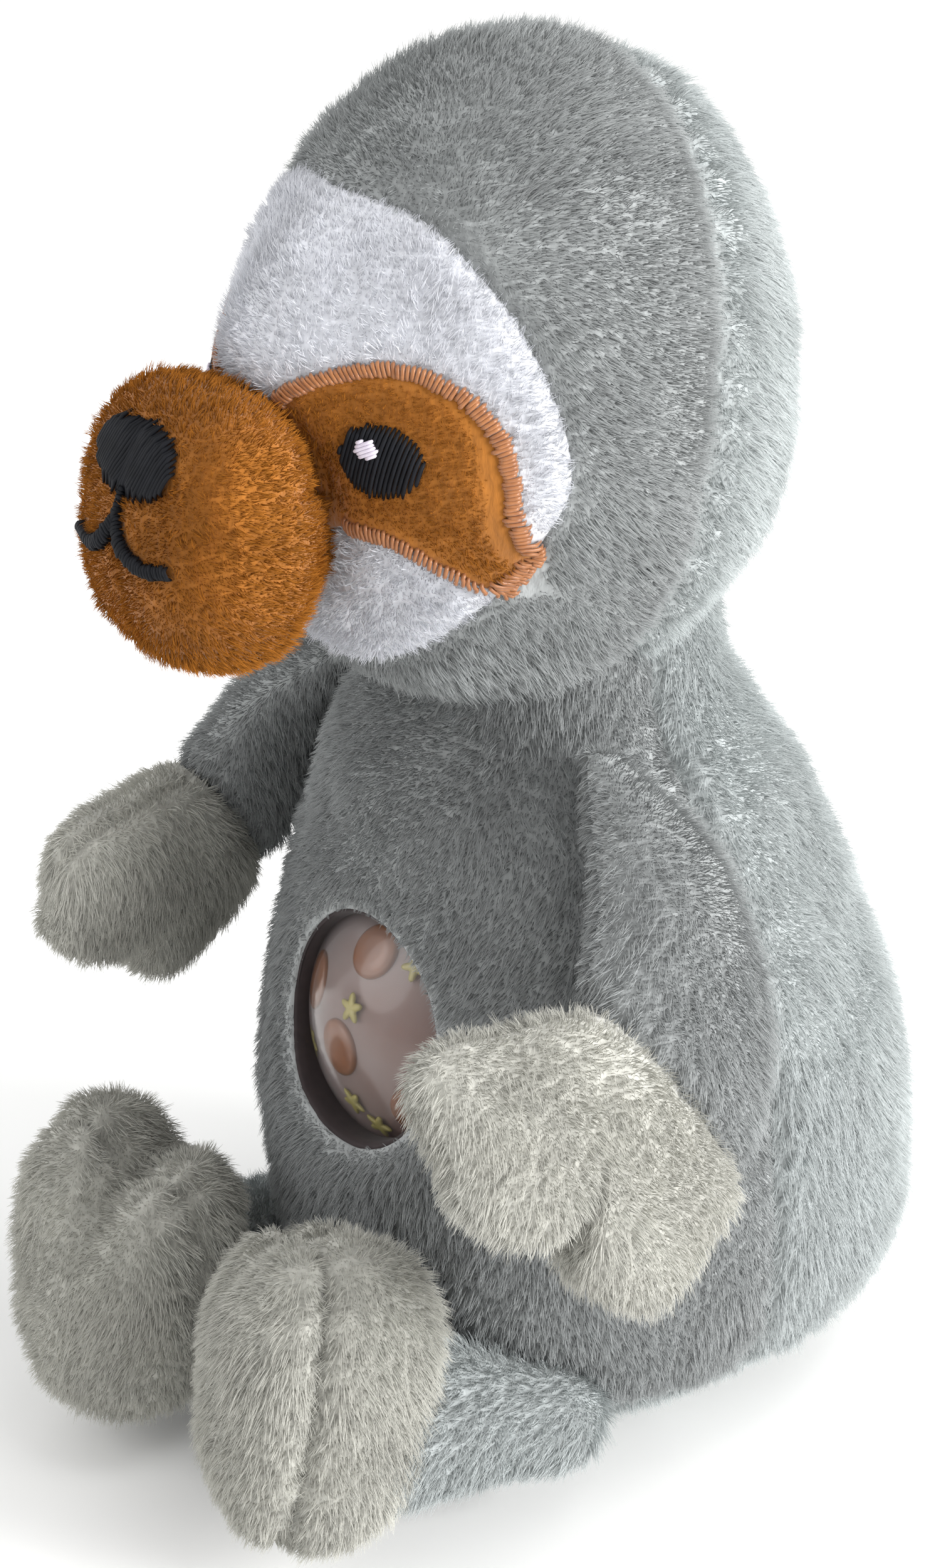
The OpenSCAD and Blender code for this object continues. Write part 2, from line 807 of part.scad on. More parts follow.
module leg_cover(raise) {
    color(light_grey) at_hip(raise) difference() {
        leg_solid(0);
        leg_solid(fabric);
        at_foot() foot_solid(-0.1);
    }
}

module leg_stuffing(raise) {
    color(fibre) at_hip(raise) difference() {
        leg_solid(fabric + ply_gap);
        at_foot() foot_solid(-0.1);
    }
}

module hip_stitches(raise) {
    reach = hip_r - 0.3;
    color(grey) at_hip(raise) translate([-reach, 0, 0]) rotate([0, 90, 0])
        cylinder(r = 1.2, h = 2*reach);
}

module foot_panel(raise, front) {
    color(front ? paw_grey : white) at_hip(raise) at_foot() difference() {
        foot_solid(0);
        foot_solid(fabric);
        translate([-60, -60, foot_seam + (front ? -120 + 0.1 : -0.1)]) cube(120);
    }
}

module foot_stuffing(raise) {
    color(fibre) at_hip(raise) at_foot() foot_solid(fabric + ply_gap);
}

module mirrored() {
    mirror([1, 0, 0]) children();
}

// ---------- Nodes ----------

torso_front_cover();
torso_back_cover();
base_gusset();
seat_panel();
torso_stuffing();
bean_bag();
window_lining();
ball_pocket();
ball_skin();
ball_gel();
orange_discs();
yellow_stars();
neck_core();
head_front_cover();
head_back_cover();
face_panel();
head_stuffing();
muzzle_cover();
muzzle_stuffing();
nose();
mouth();
eye_patch();  // eye_patch_left
mirrored() eye_patch();  // eye_patch_right
patch_border();  // patch_border_left
mirrored() patch_border();  // patch_border_right
eye();  // eye_left
mirrored() eye();  // eye_right
glint();  // glint_left
mirrored() glint();  // glint_right
arm_cover(left_pose);  // arm_cover_left
hand_cover(left_pose);  // hand_cover_left
arm_stuffing(left_pose);  // arm_stuffing_left
hand_stuffing(left_pose);  // hand_stuffing_left
shoulder_stitches(left_pose);  // shoulder_stitches_left
mirrored() arm_cover(right_pose);  // arm_cover_right
mirrored() hand_cover(right_pose);  // hand_cover_right
mirrored() arm_stuffing(right_pose);  // arm_stuffing_right
mirrored() hand_stuffing(right_pose);  // hand_stuffing_right
mirrored() shoulder_stitches(right_pose);  // shoulder_stitches_right
leg_cover(raise_left);  // leg_cover_left
leg_stuffing(raise_left);  // leg_stuffing_left
hip_stitches(raise_left);  // hip_stitches_left
foot_panel(raise_left, true);  // foot_sole_panel_left
foot_panel(raise_left, false);  // foot_back_panel_left
foot_stuffing(raise_left);  // foot_stuffing_left
mirrored() leg_cover(raise_right);  // leg_cover_right
mirrored() leg_stuffing(raise_right);  // leg_stuffing_right
mirrored() hip_stitches(raise_right);  // hip_stitches_right
mirrored() foot_panel(raise_right, true);  // foot_sole_panel_right
mirrored() foot_panel(raise_right, false);  // foot_back_panel_right
mirrored() foot_stuffing(raise_right);  // foot_stuffing_right
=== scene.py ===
# Seated plush sloth: pile fabric, embroidery and a clear belly ball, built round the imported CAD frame.
import math
import bpy
import numpy as np
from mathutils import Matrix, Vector
from mathutils.bvhtree import BVHTree


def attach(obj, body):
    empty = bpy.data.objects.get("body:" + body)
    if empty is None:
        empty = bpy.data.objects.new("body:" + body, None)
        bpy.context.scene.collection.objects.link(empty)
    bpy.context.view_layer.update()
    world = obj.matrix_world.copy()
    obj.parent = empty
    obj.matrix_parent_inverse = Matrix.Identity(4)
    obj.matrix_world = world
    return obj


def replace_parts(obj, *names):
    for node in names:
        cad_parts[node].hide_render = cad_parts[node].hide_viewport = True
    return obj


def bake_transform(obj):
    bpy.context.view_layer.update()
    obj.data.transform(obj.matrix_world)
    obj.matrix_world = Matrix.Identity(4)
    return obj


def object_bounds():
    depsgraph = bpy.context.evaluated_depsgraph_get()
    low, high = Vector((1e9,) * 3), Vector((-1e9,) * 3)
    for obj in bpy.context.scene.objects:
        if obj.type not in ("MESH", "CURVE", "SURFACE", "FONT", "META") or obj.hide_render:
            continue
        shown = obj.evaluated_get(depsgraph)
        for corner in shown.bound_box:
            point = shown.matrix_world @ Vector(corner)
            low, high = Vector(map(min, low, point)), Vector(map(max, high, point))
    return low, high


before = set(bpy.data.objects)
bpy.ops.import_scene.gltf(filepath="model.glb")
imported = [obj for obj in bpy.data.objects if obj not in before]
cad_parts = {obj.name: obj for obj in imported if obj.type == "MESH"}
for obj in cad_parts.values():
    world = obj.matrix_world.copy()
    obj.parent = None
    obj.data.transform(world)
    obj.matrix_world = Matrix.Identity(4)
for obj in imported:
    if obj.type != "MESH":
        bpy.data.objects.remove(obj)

CAD_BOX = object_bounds()
MM = 0.001
COLLECTION = bpy.context.scene.collection
rng = np.random.default_rng(11)


# ---------- Small maths ----------

def hermite_table(keys):
    """Function of x giving every column of a table of keys, [x, value, ...], joined smoothly."""
    k = np.array(keys, float)
    x, v = k[:, 0], k[:, 1:]
    slope = np.gradient(v, x, axis=0)
    slope[1:-1] = (v[2:] - v[:-2]) / (x[2:] - x[:-2])[:, None]
    slope[0], slope[-1] = (v[1] - v[0]) / (x[1] - x[0]), (v[-1] - v[-2]) / (x[-1] - x[-2])

    def at(q):
        q = np.clip(np.asarray(q, float), x[0], x[-1])
        i = np.clip(np.searchsorted(x, q, side="right") - 1, 0, len(x) - 2)
        h = (x[i + 1] - x[i])[..., None]
        t = ((q - x[i]) / (x[i + 1] - x[i]))[..., None]
        return (
            (2 * t**3 - 3 * t**2 + 1) * v[i] + (t**3 - 2 * t**2 + t) * h * slope[i]
            + (3 * t**2 - 2 * t**3) * v[i + 1] + (t**3 - t**2) * h * slope[i + 1]
        )
    return at


def power(v, e):
    return np.sign(v) * np.abs(v) ** e


def step(x, low, high):
    t = np.clip((x - low) / (high - low), 0, 1)
    return t * t * (3 - 2 * t)


def bump(x, width):
    return np.exp(-((x / width) ** 2))


def loop(corners, n):
    """n points round the closed smooth curve through some corners."""
    p = np.array(corners, float)
    m = len(p)
    s = np.arange(n) * m / n
    i = np.floor(s).astype(int)
    t = (s - i)[:, None]
    b, c = p[i % m], p[(i + 1) % m]
    u, v = (c - p[(i - 1) % m]) / 2, (p[(i + 2) % m] - b) / 2
    return (2*t**3 - 3*t**2 + 1)*b + (t**3 - 2*t**2 + t)*u + (3*t**2 - 2*t**3)*c + (t**3 - t**2)*v


def noise3(p, scale, seed=0):
    """Smooth value noise from -1 to 1 at points p in mm, with features about scale mm wide."""
    q = p / scale + seed * 17.3
    i = np.floor(q).astype(np.int64)
    f = q - i
    f = f * f * (3 - 2 * f)
    total = 0
    for dx in (0, 1):
        for dy in (0, 1):
            for dz in (0, 1):
                h = (i[:, 0]+dx)*73856093 ^ (i[:, 1]+dy)*19349663 ^ (i[:, 2]+dz)*83492791
                h = (h * 2654435761 + 12345) & 0xFFFFFF
                w = (f[:, 0] if dx else 1-f[:, 0]) * (f[:, 1] if dy else 1-f[:, 1])
                total = total + w * (f[:, 2] if dz else 1-f[:, 2]) * (h / 0x7FFFFF - 1)
    return total


def rot(axis, degrees):
    c, s = math.cos(math.radians(degrees)), math.sin(math.radians(degrees))
    return np.array({
        "x": [[1, 0, 0], [0, c, -s], [0, s, c]],
        "y": [[c, 0, s], [0, 1, 0], [-s, 0, c]],
        "z": [[c, -s, 0], [s, c, 0], [0, 0, 1]],
    }[axis])


# ---------- Surfaces as arrays ----------

class Skin:
    """A triangle surface in mm: v holds its points and t its faces."""

    def __init__(self, v, t):
        self.v, self.t = np.array(v, float), np.array(t, int)

    @staticmethod
    def grid(rows, wrap=True, cap0=False, cap1=False):
        g = np.array(rows, float)
        m, n = g.shape[:2]
        v = g.reshape(-1, 3)
        j, i = np.meshgrid(np.arange(m - 1), np.arange(n if wrap else n - 1), indexing="ij")
        a, b = j*n + i, j*n + (i + 1) % n
        c, d = a + n, b + n
        t = np.concatenate([
            np.stack([a, b, d], -1).reshape(-1, 3), np.stack([a, d, c], -1).reshape(-1, 3)])
        i = np.arange(n)
        extra = []
        if cap0:
            t = np.concatenate([t, np.stack([i*0 + len(v), (i+1) % n, i], -1)])
            extra.append(g[0].mean(0))
        if cap1:
            last = (m - 1)*n
            t = np.concatenate([t, np.stack([i*0 + len(v) + len(extra), last+i, last+(i+1) % n], -1)])
            extra.append(g[-1].mean(0))
        return Skin(np.concatenate([v, extra]) if extra else v, t)

    def normals(self):
        a, b, c = (self.v[self.t[:, k]] for k in range(3))
        n = np.cross(b - a, c - a)
        out = np.zeros_like(self.v)
        for k in range(3):
            np.add.at(out, self.t[:, k], n)
        return out / np.maximum(np.linalg.norm(out, axis=1), 1e-9)[:, None]

    def push(self, amount):
        self.v = self.v + self.normals() * np.asarray(amount)[..., None]
        return self

    def snap(self, field, rounds=3, reach=0.62):
        """Slides points that are next to the line field = 0 on to it."""
        for _ in range(rounds):
            f = field(self.v)
            e = np.concatenate([self.t[:, [0, 1]], self.t[:, [1, 2]], self.t[:, [2, 0]]])
            e = np.unique(np.sort(e, 1), axis=0)
            f0, f1 = f[e[:, 0]], f[e[:, 1]]
            hit = f0 * f1 < 0
            e, f0, f1 = e[hit], f0[hit], f1[hit]
            s = f0 / (f0 - f1)
            p = self.v[e[:, 0]] + (self.v[e[:, 1]] - self.v[e[:, 0]]) * s[:, None]
            near = np.where(s < 0.5, e[:, 0], e[:, 1])
            dist = np.minimum(s, 1 - s)
            order = np.argsort(-dist)
            order = order[dist[order] <= reach]
            self.v[near[order]] = p[order]
        return self

    def part(self, keep):
        """The faces chosen by keep, as a new surface."""
        t = self.t[keep]
        used, inverse = np.unique(t, return_inverse=True)
        return Skin(self.v[used], inverse.reshape(-1, 3))

    def split(self, field):
        """Two surfaces, where the field is above and below 0."""
        self.snap(field)
        mid = field(self.v[self.t].mean(1)) > 0
        return self.part(mid), self.part(~mid)

    def hem(self, depth=1.4):
        """Turns each open edge in, as a seam allowance."""
        e = np.concatenate([self.t[:, [0, 1]], self.t[:, [1, 2]], self.t[:, [2, 0]]])
        keys = {(a, b) for a, b in e.tolist()}
        edge = [(a, b) for a, b in e.tolist() if (b, a) not in keys]
        if not edge:
            return self
        n = self.normals()
        rim = sorted({a for x in edge for a in x})
        new = {a: len(self.v) + k for k, a in enumerate(rim)}
        self.v = np.concatenate([self.v, self.v[rim] - n[rim] * depth])
        t = []
        for a, b in edge:
            t += [(b, a, new[a]), (b, new[a], new[b])]
        self.t = np.concatenate([self.t, t])
        return self

    def moved(self, m, offset):
        self.v = self.v @ np.array(m).T + np.array(offset)
        return self

    def mirrored(self):
        return Skin(self.v * [-1, 1, 1], self.t[:, ::-1])

    def joined(self, other):
        return Skin(np.concatenate([self.v, other.v]), np.concatenate([self.t, other.t + len(self.v)]))

    def piece(self, name, material, slot, body=None):
        me = bpy.data.meshes.new(name)
        me.from_pydata((self.v * MM).tolist(), [], self.t.tolist())
        me.polygons.foreach_set("use_smooth", np.ones(len(self.t), bool))
        me.materials.append(material)
        me.update()
        o = bpy.data.objects.new(name, me)
        COLLECTION.objects.link(o)
        if body:
            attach(o, body)
        return o


def tree(skin):
    return BVHTree.FromPolygons([tuple(p) for p in skin.v], skin.t.tolist())


# ---------- Materials ----------

def new_material(name):
    m = bpy.data.materials.new(name)
    m.use_nodes = True
    return m, m.node_tree.nodes, m.node_tree.links, m.node_tree.nodes["Principled BSDF"]


def mixed(nodes, links, factor, dark, light):
    mix = nodes.new("ShaderNodeMix")
    mix.data_type = "RGBA"
    mix.inputs["A"].default_value, mix.inputs["B"].default_value = (*dark, 1), (*light, 1)
    links.new(factor, mix.inputs["Factor"])
    return mix.outputs["Result"]


def pile_backing(name, colour, streak=900):
    """Pile fabric as a surface: mottled colour, streaks a millimetre or two wide and a soft sheen."""
    m, nodes, links, bsdf = new_material(name)
    where = nodes.new("ShaderNodeTexCoord").outputs["Object"]
    stretch = nodes.new("ShaderNodeMapping")
    stretch.inputs["Scale"].default_value = (1, 1, 0.35)
    links.new(where, stretch.inputs["Vector"])
    fine = nodes.new("ShaderNodeTexNoise")
    fine.inputs["Scale"].default_value, fine.inputs["Detail"].default_value = streak, 3
    links.new(stretch.outputs[0], fine.inputs["Vector"])
    broad = nodes.new("ShaderNodeTexNoise")
    broad.inputs["Scale"].default_value, broad.inputs["Detail"].default_value = 90, 4
    links.new(where, broad.inputs["Vector"])
    total = nodes.new("ShaderNodeMath")
    total.operation = "MULTIPLY_ADD"
    links.new(fine.outputs["Fac"], total.inputs[0])
    total.inputs[1].default_value = 0.7
    links.new(broad.outputs["Fac"], total.inputs[2])
    wide = nodes.new("ShaderNodeMapRange")
    wide.inputs["From Min"].default_value, wide.inputs["From Max"].default_value = 0.5, 1.2
    links.new(total.outputs[0], wide.inputs["Value"])
    dark, light = [0.62*c for c in colour], [min(1.15*c, 0.95) for c in colour]
    links.new(mixed(nodes, links, wide.outputs[0], dark, light), bsdf.inputs["Base Color"])
    bsdf.inputs["Roughness"].default_value = 0.9
    bsdf.inputs["Sheen Weight"].default_value = 0.35
    bsdf.inputs["Sheen Roughness"].default_value = 0.5
    bsdf.inputs["Specular IOR Level"].default_value = 0.2
    bump_node = nodes.new("ShaderNodeBump")
    bump_node.inputs["Strength"].default_value = 0.6
    bump_node.inputs["Distance"].default_value = 0.0006
    links.new(fine.outputs["Fac"], bump_node.inputs["Height"])
    links.new(bump_node.outputs[0], bsdf.inputs["Normal"])
    return m


def fibre(name, colour, root):
    """Material of the pile's fibres: darker at the root, each one a little different."""
    m, nodes, links, bsdf = new_material(name)
    hair = nodes.new("ShaderNodeHairInfo")
    tint = nodes.new("ShaderNodeAttribute")
    tint.attribute_name = "tint"
    ramp = nodes.new("ShaderNodeMapRange")
    ramp.inputs["To Min"].default_value, ramp.inputs["To Max"].default_value = root, 1.0
    links.new(hair.outputs["Intercept"], ramp.inputs["Value"])
    shade = nodes.new("ShaderNodeMath")
    shade.operation = "MULTIPLY"
    links.new(ramp.outputs[0], shade.inputs[0])
    links.new(tint.outputs["Fac"], shade.inputs[1])
    scale = nodes.new("ShaderNodeVectorMath")
    scale.operation = "SCALE"
    scale.inputs[0].default_value = colour
    links.new(shade.outputs[0], scale.inputs["Scale"])
    links.new(scale.outputs[0], bsdf.inputs["Base Color"])
    bsdf.inputs["Roughness"].default_value = 0.75
    bsdf.inputs["Specular IOR Level"].default_value = 0.12
    return m


def thread_material(name, dark, light, rough=0.38, sheen=0.2, shine=0.5):
    m, nodes, links, bsdf = new_material(name)
    where = nodes.new("ShaderNodeTexCoord").outputs["Object"]
    n = nodes.new("ShaderNodeTexNoise")
    n.inputs["Scale"].default_value, n.inputs["Detail"].default_value = 700, 2
    links.new(where, n.inputs["Vector"])
    links.new(mixed(nodes, links, n.outputs["Fac"], dark, light), bsdf.inputs["Base Color"])
    bsdf.inputs["Roughness"].default_value = rough
    bsdf.inputs["Sheen Weight"].default_value = sheen
    bsdf.inputs["Specular IOR Level"].default_value = shine
    bsdf.inputs["Anisotropic"].default_value = 0.4
    return m


GREY, LIGHT, PAW = (0.37, 0.385, 0.385), (0.47, 0.50, 0.50), (0.52, 0.515, 0.47)
WHITE, BROWN = (0.74, 0.75, 0.79), (0.35, 0.125, 0.014)
PLUSH = {
    "grey_plush": GREY, "light_grey_plush": LIGHT, "paw_plush": PAW, "white_plush": WHITE,
    "brown_plush": BROWN,
}
PILE_SINK = 1.1         # the backing lies this far under the outside of the pile
BACKING = {k: pile_backing(k + "_backing", c) for k, c in PLUSH.items()}
DARK_ROOTS = ("grey_plush", "brown_plush")
FIBRE = {k: fibre(k + "_fibre", c, 0.6 if k in DARK_ROOTS else 0.8) for k, c in PLUSH.items()}


# ---------- Pile ----------

def pile_group():
    """Node group that grows short combed fibres on another object's surface."""
    g = bpy.data.node_groups.new("pile", "GeometryNodeTree")
    g.interface.new_socket("Geometry", in_out="OUTPUT", socket_type="NodeSocketGeometry")
    wanted = [("Surface", "Object"), ("Density", "Float"), ("Length", "Float"), ("Comb", "Vector"),
              ("Sweep", "Float"), ("Lean", "Float"), ("Clump", "Float"), ("Tufts", "Float"),
              ("Radius", "Float"), ("Material", "Material")]
    names = {n: g.interface.new_socket(n, in_out="INPUT", socket_type="NodeSocket" + t).identifier
             for n, t in wanted}
    nodes, links = g.nodes, g.links
    inp, out = nodes.new("NodeGroupInput").outputs, nodes.new("NodeGroupOutput")

    def put(node, socket, x):
        if isinstance(x, bpy.types.NodeSocket):
            links.new(x, node.inputs[socket])
        else:
            node.inputs[socket].default_value = x

    def maths(op, a, b=0.0):
        n = nodes.new("ShaderNodeMath")
        n.operation = op
        put(n, 0, a)
        put(n, 1, b)
        return n.outputs[0]

    def vec(op, a, b=None, scale=None):
        n = nodes.new("ShaderNodeVectorMath")
        n.operation = op
        put(n, 0, a)
        if b is not None:
            put(n, 1, b)
        if scale is not None:
            put(n, "Scale", scale)
        return n.outputs["Value" if op == "DOT_PRODUCT" else "Vector"]

    def stored(geometry, name, value, kind="FLOAT_VECTOR"):
        n = nodes.new("GeometryNodeStoreNamedAttribute")
        n.data_type, n.domain = kind, "POINT"
        n.inputs["Name"].default_value = name
        links.new(geometry, n.inputs["Geometry"])
        links.new(value, n.inputs["Value"])
        return n.outputs[0]

    def attribute(name, kind="FLOAT_VECTOR"):
        n = nodes.new("GeometryNodeInputNamedAttribute")
        n.data_type = kind
        n.inputs["Name"].default_value = name
        return n.outputs[0]

    surface = nodes.new("GeometryNodeObjectInfo")
    surface.transform_space = "RELATIVE"
    links.new(inp["Surface"], surface.inputs["Object"])
    scatter = nodes.new("GeometryNodeDistributePointsOnFaces")
    links.new(surface.outputs["Geometry"], scatter.inputs["Mesh"])
    pile = attribute("pile", "FLOAT")
    put(scatter, "Density", maths("MULTIPLY", maths("GREATER_THAN", pile, 0.05), inp["Density"]))
    points = stored(scatter.outputs["Points"], "normal_at_root", scatter.outputs["Normal"])
    points = stored(points, "root", nodes.new("GeometryNodeInputPosition").outputs[0])
    line = nodes.new("GeometryNodeCurvePrimitiveLine")
    line.inputs["End"].default_value = (0, 0, 0.001)
    four = nodes.new("GeometryNodeResampleCurve")
    four.inputs["Count"].default_value = 4
    links.new(line.outputs[0], four.inputs[0])
    copies = nodes.new("GeometryNodeInstanceOnPoints")
    links.new(points, copies.inputs["Points"])
    links.new(four.outputs[0], copies.inputs["Instance"])
    real = nodes.new("GeometryNodeRealizeInstances")
    links.new(copies.outputs[0], real.inputs[0])

    root, normal = attribute("root"), attribute("normal_at_root")
    t = nodes.new("GeometryNodeSplineParameter").outputs["Factor"]

    def noise(scale, detail=1.0):
        n = nodes.new("ShaderNodeTexNoise")
        put(n, "Vector", root)
        n.inputs["Scale"].default_value, n.inputs["Detail"].default_value = scale, detail
        return n.outputs

    waves = vec("SCALE", vec("SUBTRACT", noise(55)["Color"], (0.5, 0.5, 0.5)), scale=inp["Sweep"])
    comb = vec("ADD", waves, inp["Comb"])
    flat = vec("SUBTRACT", comb, vec("SCALE", normal, scale=vec("DOT_PRODUCT", comb, normal)))
    speck = nodes.new("ShaderNodeTexWhiteNoise")
    speck.noise_dimensions = "3D"
    links.new(root, speck.inputs["Vector"])
    jitter = vec("SCALE", vec("SUBTRACT", speck.outputs["Color"], (0.5, 0.5, 0.5)), scale=0.45)
    cells = nodes.new("ShaderNodeTexVoronoi")
    put(cells, "Vector", root)
    put(cells, "Scale", inp["Tufts"])
    pull = vec("SCALE", vec("SUBTRACT", cells.outputs["Position"], root), scale=inp["Clump"])
    length = maths("MULTIPLY", inp["Length"], attribute("pile", "FLOAT"))
    uneven = maths("ADD", maths("MULTIPLY", speck.outputs["Value"], 0.35), 0.8)
    length = maths("MULTIPLY", length, uneven)
    length = maths("MULTIPLY", length, maths("ADD", maths("MULTIPLY", noise(160)["Fac"], 0.7), 0.65))
    bent = maths("POWER", t, 1.6)
    rise = vec("SCALE", normal, scale=maths("MULTIPLY", maths("MULTIPLY", t, length), 0.68))
    lean = vec("SCALE", vec("ADD", flat, jitter),
               scale=maths("MULTIPLY", maths("MULTIPLY", bent, length), inp["Lean"]))
    offset = vec("ADD", vec("ADD", rise, lean), vec("SCALE", pull, scale=bent))
    place = nodes.new("GeometryNodeSetPosition")
    links.new(real.outputs[0], place.inputs["Geometry"])
    links.new(vec("ADD", root, offset), place.inputs["Position"])
    thick = nodes.new("GeometryNodeSetCurveRadius")
    links.new(place.outputs[0], thick.inputs["Curve"])
    put(thick, "Radius", maths("MULTIPLY", maths("SUBTRACT", 1.15, t), inp["Radius"]))
    tone = maths("ADD", maths("MULTIPLY", speck.outputs["Value"], 0.34), 0.72)
    tone = maths("MULTIPLY", tone, maths("ADD", maths("MULTIPLY", noise(140, 3.0)["Fac"], 0.5), 0.8))
    tinted = stored(thick.outputs[0], "tint", tone, "FLOAT")
    dressed = nodes.new("GeometryNodeSetMaterial")
    links.new(tinted, dressed.inputs["Geometry"])
    links.new(inp["Material"], dressed.inputs["Material"])
    links.new(dressed.outputs[0], out.inputs[0])
    return g, names


PILE, PILE_INPUTS = pile_group()


def grow(piece, body, slot, length=2.0, comb=(0, 0, -0.6), density=8.0, sweep=1.6, lean=1.0,
         clump=0.5, tufts=620, radius=0.05):
    """Pile on a piece: length and radius in mm, density in fibres per square mm."""
    data = bpy.data.hair_curves.new(piece.name + "_pile")
    data.materials.append(FIBRE[slot])
    o = bpy.data.objects.new(piece.name + "_pile", data)
    COLLECTION.objects.link(o)
    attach(o, body)
    mod = o.modifiers.new("pile", "NODES")
    mod.node_group = PILE
    values = {
        "Surface": piece, "Density": density*1e6, "Length": length*MM, "Comb": comb,
        "Sweep": sweep, "Lean": lean, "Clump": clump, "Tufts": float(tufts),
        "Radius": radius*MM, "Material": FIBRE[slot]}
    for name, value in values.items():
        mod[PILE_INPUTS[name]] = value
    return o


def set_pile(piece, values):
    a = piece.data.attributes.new("pile", "FLOAT", "POINT")
    a.data.foreach_set("value", np.ascontiguousarray(values, np.float32))


# ---------- Body ----------

TORSO_H, TORSO_W, TORSO_FRONT, TORSO_BACK = 96.0, 38.5, 40.0, 40.5
# Fraction of the height, then the middle, half width, front and back as fractions of those
torso_at = hermite_table([
    [0.000, -0.05, 0.38, 0.42, 0.74], [0.030, -0.05, 0.56, 0.66, 0.93],
    [0.090, -0.04, 0.77, 0.88, 1.04], [0.200, -0.03, 0.94, 0.98, 1.05],
    [0.350, -0.04, 1.00, 1.00, 1.02], [0.510, -0.07, 1.00, 0.98, 0.98],
    [0.660, -0.10, 0.95, 0.88, 0.88], [0.810, -0.14, 0.86, 0.73, 0.78],
    [0.930, -0.19, 0.74, 0.60, 0.67], [1.000, -0.21, 0.50, 0.41, 0.46]])
NECK_F = 0.93           # fraction of the body's height where the neck's gather starts
BASE_SEAM = 0.09*TORSO_H
WINDOW_R, WINDOW_Z, BELLY_TILT = 14.6, 58.0, 9.0


def torso_sizes(f):
    k = torso_at(f)
    return np.stack([np.asarray(f)*TORSO_H, k[..., 0]*TORSO_BACK, k[..., 1]*TORSO_W,
                     k[..., 2]*TORSO_FRONT, k[..., 3]*TORSO_BACK], -1)


def section(size, a, e=0.92):
    """Squarish ring of a body at angles a: size is height, middle, half width, front, back."""
    z, mid, w, front, back = size
    depth = np.where(np.sin(a) < 0, front, back)
    return np.stack([w*power(np.cos(a), e), mid + depth*power(np.sin(a), e), z + 0*a], -1)


def torso_mid(z):
    return torso_at(np.clip(z/TORSO_H, 0, NECK_F))[..., 0]*TORSO_BACK


def window_place():
    y = float(section(torso_sizes(WINDOW_Z/TORSO_H), np.array([-math.pi/2]))[0, 1])
    return np.array([0, y, WINDOW_Z]), rot("x", 90 - BELLY_TILT)


WINDOW_AT, WINDOW_TURN = window_place()


def window_field(v):
    p = (v - WINDOW_AT) @ WINDOW_TURN
    return np.where(v[:, 1] < -20, np.hypot(p[:, 0], p[:, 1]) - WINDOW_R, 50.0)


def puckers(along, away, pitch, depth, reach):
    """Gathers beside a seam: waves along it that die away from it."""
    return depth*np.sin(2*math.pi*along/pitch + 1.7*np.sin(along/pitch*0.9))*bump(away, reach)


def make_torso():
    a = np.linspace(0, 2*math.pi, 230, endpoint=False)
    seat = section(torso_sizes(0.0), a)
    rows = [seat*[s, s, 1] + [0, (1 - s)*-2, 0] for s in np.linspace(0.06, 1, 14, endpoint=False)]
    rows += [section(torso_sizes(f), a) for f in NECK_F*np.linspace(0, 1, 92)**1.25]
    start = torso_sizes(NECK_F)
    neck = hermite_table([
        [0, *start], [0.25, 93.6, -8.6, 25.0, 20.6, 24.0], [0.5, 97.8, -9.0, 22.2, 17.4, 21.4],
        [0.75, 102.5, -9.3, 21.0, 16.0, 20.6], [1, 109, -9.6, 20, 15, 19.5]])
    for u in np.linspace(0, 1, 22)[1:]:
        ring = section(neck(u), a)
        ring[:, 2] += 5*u*np.clip(np.sin(a), 0, 1)
        rows.append(ring)
    skin = Skin.grid(rows, cap0=True)
    v = skin.v
    side = v[:, 1] - torso_mid(v[:, 2])
    base = v[:, 2] - BASE_SEAM
    body = step(v[:, 2], 3, 12)
    amount = 0.55*noise3(v, 15, 1)*body + 0.25*noise3(v, 6, 2)*body
    above = step(base, 0, 4)
    amount -= 1.3*bump(side, 1.8)*above + 1.5*bump(base, 1.9)*body
    amount += puckers(v[:, 2], side, 6.5, 0.3, 6)*above
    round_base = np.arctan2(v[:, 1], v[:, 0])*38
    amount += puckers(round_base, base, 7.0, 0.35, 5)*body
    amount += 0.5*bump(side - 7, 5)*above + 0.5*bump(side + 7, 5)*above
    amount -= 0.9*bump(window_field(v) - 0.5, 2.2)
    skin.push(amount - PILE_SINK*step(v[:, 2], 0, 3))
    return skin


def seam_pile(v, *fields, low=0.35, width=1.5):
    """Pile length factor: shorter where the fabric dives into a seam."""
    out = np.ones(len(v))
    for f in fields:
        out *= 1 - (1 - low)*bump(f, width)
    return out


def padded(o, fill, *nodes):
    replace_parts(o, *nodes)


